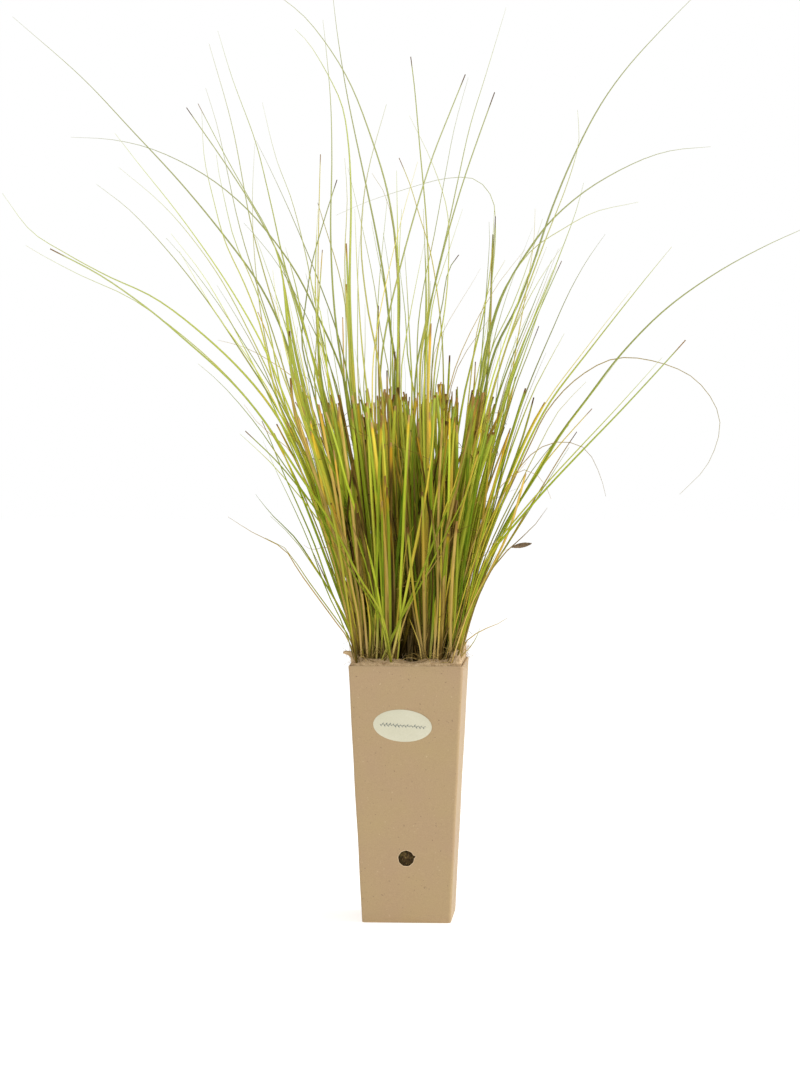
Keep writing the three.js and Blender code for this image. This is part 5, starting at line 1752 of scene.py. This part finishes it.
def dry_thread(x, y, dice):
    """A curly dead thread caught among the leaves."""
    rise = dice.uniform(8, 190)
    factor = opening(rise * MM)
    place = Vector((x * factor * 0.78, y * factor, SOIL + 2 + rise))
    heading = any_heading(dice, 0.6, 0.5, 0.6)
    points = [place]
    for _ in range(7):
        heading = curl(heading, dice, 0.5)
        place = place + heading * dice.uniform(3, 9)
        points.append(Vector((place.x, place.y, max(place.z, RIM_CLEAR))))
    width = dice.uniform(0.35, 0.7)
    return make_leaf(in_metres(*points), width * MM, "thread", "fine", dice, 3 * MM, above=300 * MM)


def rim_thread(x, y, dice):
    """A fibre or dry rootlet that lies loosely on the felt's edge."""
    start_x = x + dice.uniform(-7, 7)
    start_y = max(-41, min(40, y * 1.4 + dice.uniform(-4, 6)))
    place = Vector((start_x, start_y, dice.uniform(206, 213)))
    heading = any_heading(dice, 0.4, 0.3, 0.7)
    points = [place]
    for _ in range(5):
        heading = curl(heading, dice, 0.4)
        place = place + heading * dice.uniform(1.5, 4)
        place = Vector((max(-44, min(43, place.x)), max(-44, min(44, place.y)), max(place.z, RIM_CLEAR)))
        points.append(place)
    return make_leaf(in_metres(*points), dice.uniform(0.2, 0.38) * MM, "rootlet", "fine", dice, 2 * MM)


print("leaves and threads lean outwards above", RIM_CLEAR, "mm")

# %% [markdown]
# Some leaves in front of the clumps are seen from foot to tip, and the eye knows them: a
# bright one that sweeps up to the left, a broad straw blade, a golden one that bends over, the
# small ones that lean over the rim at the right, and a loose curl of straw. These are drawn
# one by one and belong to the shoot that they grow from.

# %% Front leaves that are seen whole
# for each shoot: depth in mm, finish, tip, width in mm, outline
FRONT_LEAVES = {
    "left_shoot_9": [
        (-33, "fresh", "cut", 2.2, [(-13, 201), (-22, 240), (-28, 272), (-37, 305), (-50, 345), (-58, 375),
            (-66, 400)]),
        (-30, "gold", "fine", 1.8, [(-10, 201), (-9, 240), (-6, 265), (-3, 290), (0, 305), (4, 311)]),
        (-32, "gold", "fine", 2.3, [(-12, 201), (-8, 232), (-3, 255), (2, 280), (7, 300), (10, 315),
            (16, 350), (18, 372)]),
        (-34, "rust", "fine", 1.5, [(-10, 201), (-4, 235), (8, 262), (20, 280), (32, 298), (40, 312)]),
        (-34, "fresh", "cut", 2.4, [(-8, 201), (-7, 235), (-7, 262), (-5, 300), (-3, 345), (0, 398)]),
        (-30, "straw", "fine", 0.6, [(-14, 330), (-20, 382), (-12, 377), (-6, 368), (-5, 360), (-8, 345)])],
    "left_shoot_5": [
        (-30, "lime", "cut", 2.5, [(-28, 201), (-27, 240), (-27, 290), (-30, 340), (-33, 408)]),
        (-28, "deep", "fine", 3.3, [(-18, 201), (-17, 240), (-16, 270), (-14, 312)]),
        (-33, "fresh", "cut", 2.5, [(-24, 201), (-25, 240), (-26, 268), (-25, 300), (-24, 345), (-22, 392)]),
        (-31, "fresh", "cut", 2.2, [(-21, 201), (-21, 235), (-22, 262), (-24, 300), (-28, 350), (-34, 400)]),
        (-34, "gilded", "fine", 2.2, [(-30, 201), (-31, 226), (-33, 248), (-38, 268)]),
        (-32, "straw", "cut", 2.7, [(-30, 201), (-36, 240), (-41, 280), (-46, 330), (-56, 404)])],
    "left_shoot_1": [
        (-30, "straw", "cut", 2.8, [(-38, 201), (-45, 240), (-51, 280), (-58, 330), (-72, 406)]),
        (-33, "straw", "cut", 2.3, [(-35, 201), (-40, 235), (-47, 270), (-52, 310), (-60, 370)]),
        (-28, "straw", "cut", 2.0, [(-40, 201), (-50, 245), (-60, 290), (-74, 345), (-88, 396)]),
        (-31, "deep", "cut", 2.0, [(-40, 201), (-48, 240), (-57, 275), (-69, 322), (-82, 380)])],
    "right_shoot_1": [
        (-32, "deep", "cut", 2.8, [(17.5, 201), (19, 240), (18, 265), (18, 290), (17, 350), (20, 412)]),
        (-33, "gold", "fine", 1.4, [(13, 201), (8, 216), (5, 225), (0, 237)]),
        (-31, "gold", "cut", 2.2, [(22, 201), (20, 250), (19, 280), (18, 330), (16, 400)]),
        (-33, "straw", "cut", 2.2, [(20, 201), (22, 240), (22.5, 280), (23, 330), (26, 395)])],
    "right_shoot_5": [
        (-35, "straw", "cut", 3.8, [(25.5, 201), (26.5, 240), (27, 270), (28, 300), (32, 320), (38, 345),
            (47, 385), (54, 411)]),
        (-33, "gold", "fine", 1.9, [(24, 201), (25, 260), (27, 320), (35, 340), (42, 365), (47, 385)])],
    "right_shoot_9": [
        (-30, "deep", "cut", 2.8, [(37, 201), (43, 245), (44, 300), (46, 360), (50, 414)]),
        (-32, "deep", "cut", 2.5, [(36, 201), (40, 250), (46, 300), (54, 350), (64, 404)]),
        (-33, "straw", "cut", 2.0, [(38.5, 201), (46, 235), (52, 255), (60, 268), (68, 283), (80, 310),
            (92, 352)]),
        (-29, "fresh", "cut", 2.0, [(37, 201), (46, 245), (55, 290), (66, 335), (76, 376)]),
        (-31, "rust", "fine", 1.2, [(38, 201), (40, 208), (46, 220), (60, 229), (68, 232), (78, 238)]),
        (-33, "deep", "fine", 1.5, [(38, 201), (41, 207), (47, 213), (53, 222), (56, 230)])],
}

print("front leaves:", sum(map(len, FRONT_LEAVES.values())))

# %% Grow the shoots
EXTRA = {"by_gap": 4, "thatch": 6, "threads_in_front": 7, "threads_behind": 3, "rim_threads": 11, "heart": 32}
# painted light: the front leaves that are seen whole get a brighter tone than the rest
FRONT_TONES = (0.45, 0.95)
leaf_total = 0
for clump, clump_columns in CLUMP_COLUMNS.items():
    for column, x in enumerate(clump_columns):
        for row, y in enumerate(CLUMP_ROWS):
            shoot = f"{clump}_shoot_{column * len(CLUMP_ROWS) + row + 1}"
            dice = random.Random(sum(map(ord, shoot)) * 17 + column * 5 + row)
            middle, spread = TOPS[x]
            tops = bundle_tops(middle + dice.uniform(-spread, spread) * 0.8, dice)
            count = LEAVES_PER_ROW[y] + (EXTRA["by_gap"] if abs(x) < BY_GAP else 0)
            leaves = [sheared_leaf(x, y, tops, dice) for _ in range(count)]
            leaves += [thatch_leaf(x, y, dice) for _ in range(EXTRA["thatch"])]
            threads = EXTRA["threads_in_front" if y < 0 else "threads_behind"]
            leaves += [dry_thread(x, y, dice) for _ in range(threads)]
            if y < -20 or x > 30:
                leaves += [rim_thread(x, y, dice) for _ in range(EXTRA["rim_threads"])]
            if abs(x) < BY_GAP and y > 0:
                leaves += [heart_leaf(x, y, dice) for _ in range(EXTRA["heart"])]
            for lane, finish, tip, width, outline in FRONT_LEAVES.get(shoot, []):
                path, twist = at_depth(outline, lane * MM), dice.uniform(-0.25, 0.25)
                tone = dice.uniform(*FRONT_TONES)
                leaves.append(make_leaf(path, width * MM, finish, tip, dice, 12 * MM, twist, tone=tone))
            leaf_total += len(leaves)
            leaf_piece(f"{shoot}_tuft", leaves, "sheared_leaf", shoot)
print("shoots:", leaf_total, "leaves and threads")

# %% [markdown]
# ## The seed stalk
# At the right one thin stalk carries a dark spikelet, a spindle of overlapping scales. The
# stalk is one more blade. The scales are the lens shape again, set along a spiral by the same
# scatter tree that placed the sprig's leaflets.

# %% Seed stalk
SEED_LANE = -39 * MM
STALK = [(33, 201), (48, 245), (60, 268), (68, 282), (75, 291), (82, 294)]
stalk_path = at_depth(STALK, SEED_LANE)
stalk = make_leaf(stalk_path, 1.2 * MM, "rust", "fine", random.Random(900), 8 * MM, 0.0)
leaf_piece("seed_stalk_blade", [stalk], "seed_head", "seed_stalk")
print("seed stalk ends at", tuple(round(v, 3) for v in stalk_path[-1]))

# %% Husk finish
def husk_material():
    """Dry brown husk with a fine grain."""
    made, tree, shader = start_material("seed husk", 0.6)
    grain = speckle(tree, object_place(tree), 900, 3)
    paint(tree, shader, ramp(tree, grain, [
        (0.3, srgb(74, 56, 36)), (0.6, srgb(124, 101, 70)), (0.8, srgb(162, 138, 100))]))
    bump(tree, shader, grain, 0.0002, 0.5)
    return made


husk = husk_material()
print("husk finish:", len(husk.node_tree.nodes), "nodes")

# %% Spikelet
SPIKELET = {"length": 17 * MM, "radius": 1.75 * MM, "rise": math.atan2(3, 16), "scales": 72}
SCALE_SIZE = (3.0, 1.7, 1.3)
SPIRAL = math.radians(137.5)   # the turn from one scale to the next
heading = Vector((math.cos(SPIKELET["rise"]), 0, math.sin(SPIKELET["rise"])))
lifted = Vector((-heading.z, 0, heading.x))
depthward = heading.cross(lifted)
start = stalk_path[-1] - heading * 1.5 * MM
scale_points, scale_along, scale_up, scale_size = [], [], [], []
for number in range(SPIKELET["scales"]):
    share = number / SPIKELET["scales"]
    angle = number * SPIRAL
    outward = lifted * math.cos(angle) + depthward * math.sin(angle)
    fullness = max(0.08, math.sin(math.pi * (0.03 + 0.93 * share ** 0.8)))
    radius = SPIKELET["radius"] * fullness
    scale_points.append(start + heading * SPIKELET["length"] * share * 0.88 + outward * radius * 0.6)
    scale_along.append((heading + outward * 0.2 * fullness).normalized())
    scale_up.append(outward)
    scale_size.append(tuple(side * (0.45 + 0.55 * fullness) * MM for side in SCALE_SIZE))
spikelet_mesh = grow(scatter_tree("seed scales", lens_shape("seed scale", 6, 0.3)),
                     point_cloud("scales", scale_points, scale_along, scale_up, scale_size), Material=husk)
finish_piece("spikelet", spikelet_mesh, "seed_head")
print("spikelet:", len(spikelet_mesh.polygons), "faces")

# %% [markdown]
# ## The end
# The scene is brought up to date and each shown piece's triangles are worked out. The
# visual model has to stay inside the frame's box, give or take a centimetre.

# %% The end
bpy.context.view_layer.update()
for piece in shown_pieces():
    piece.data.calc_loop_triangles()
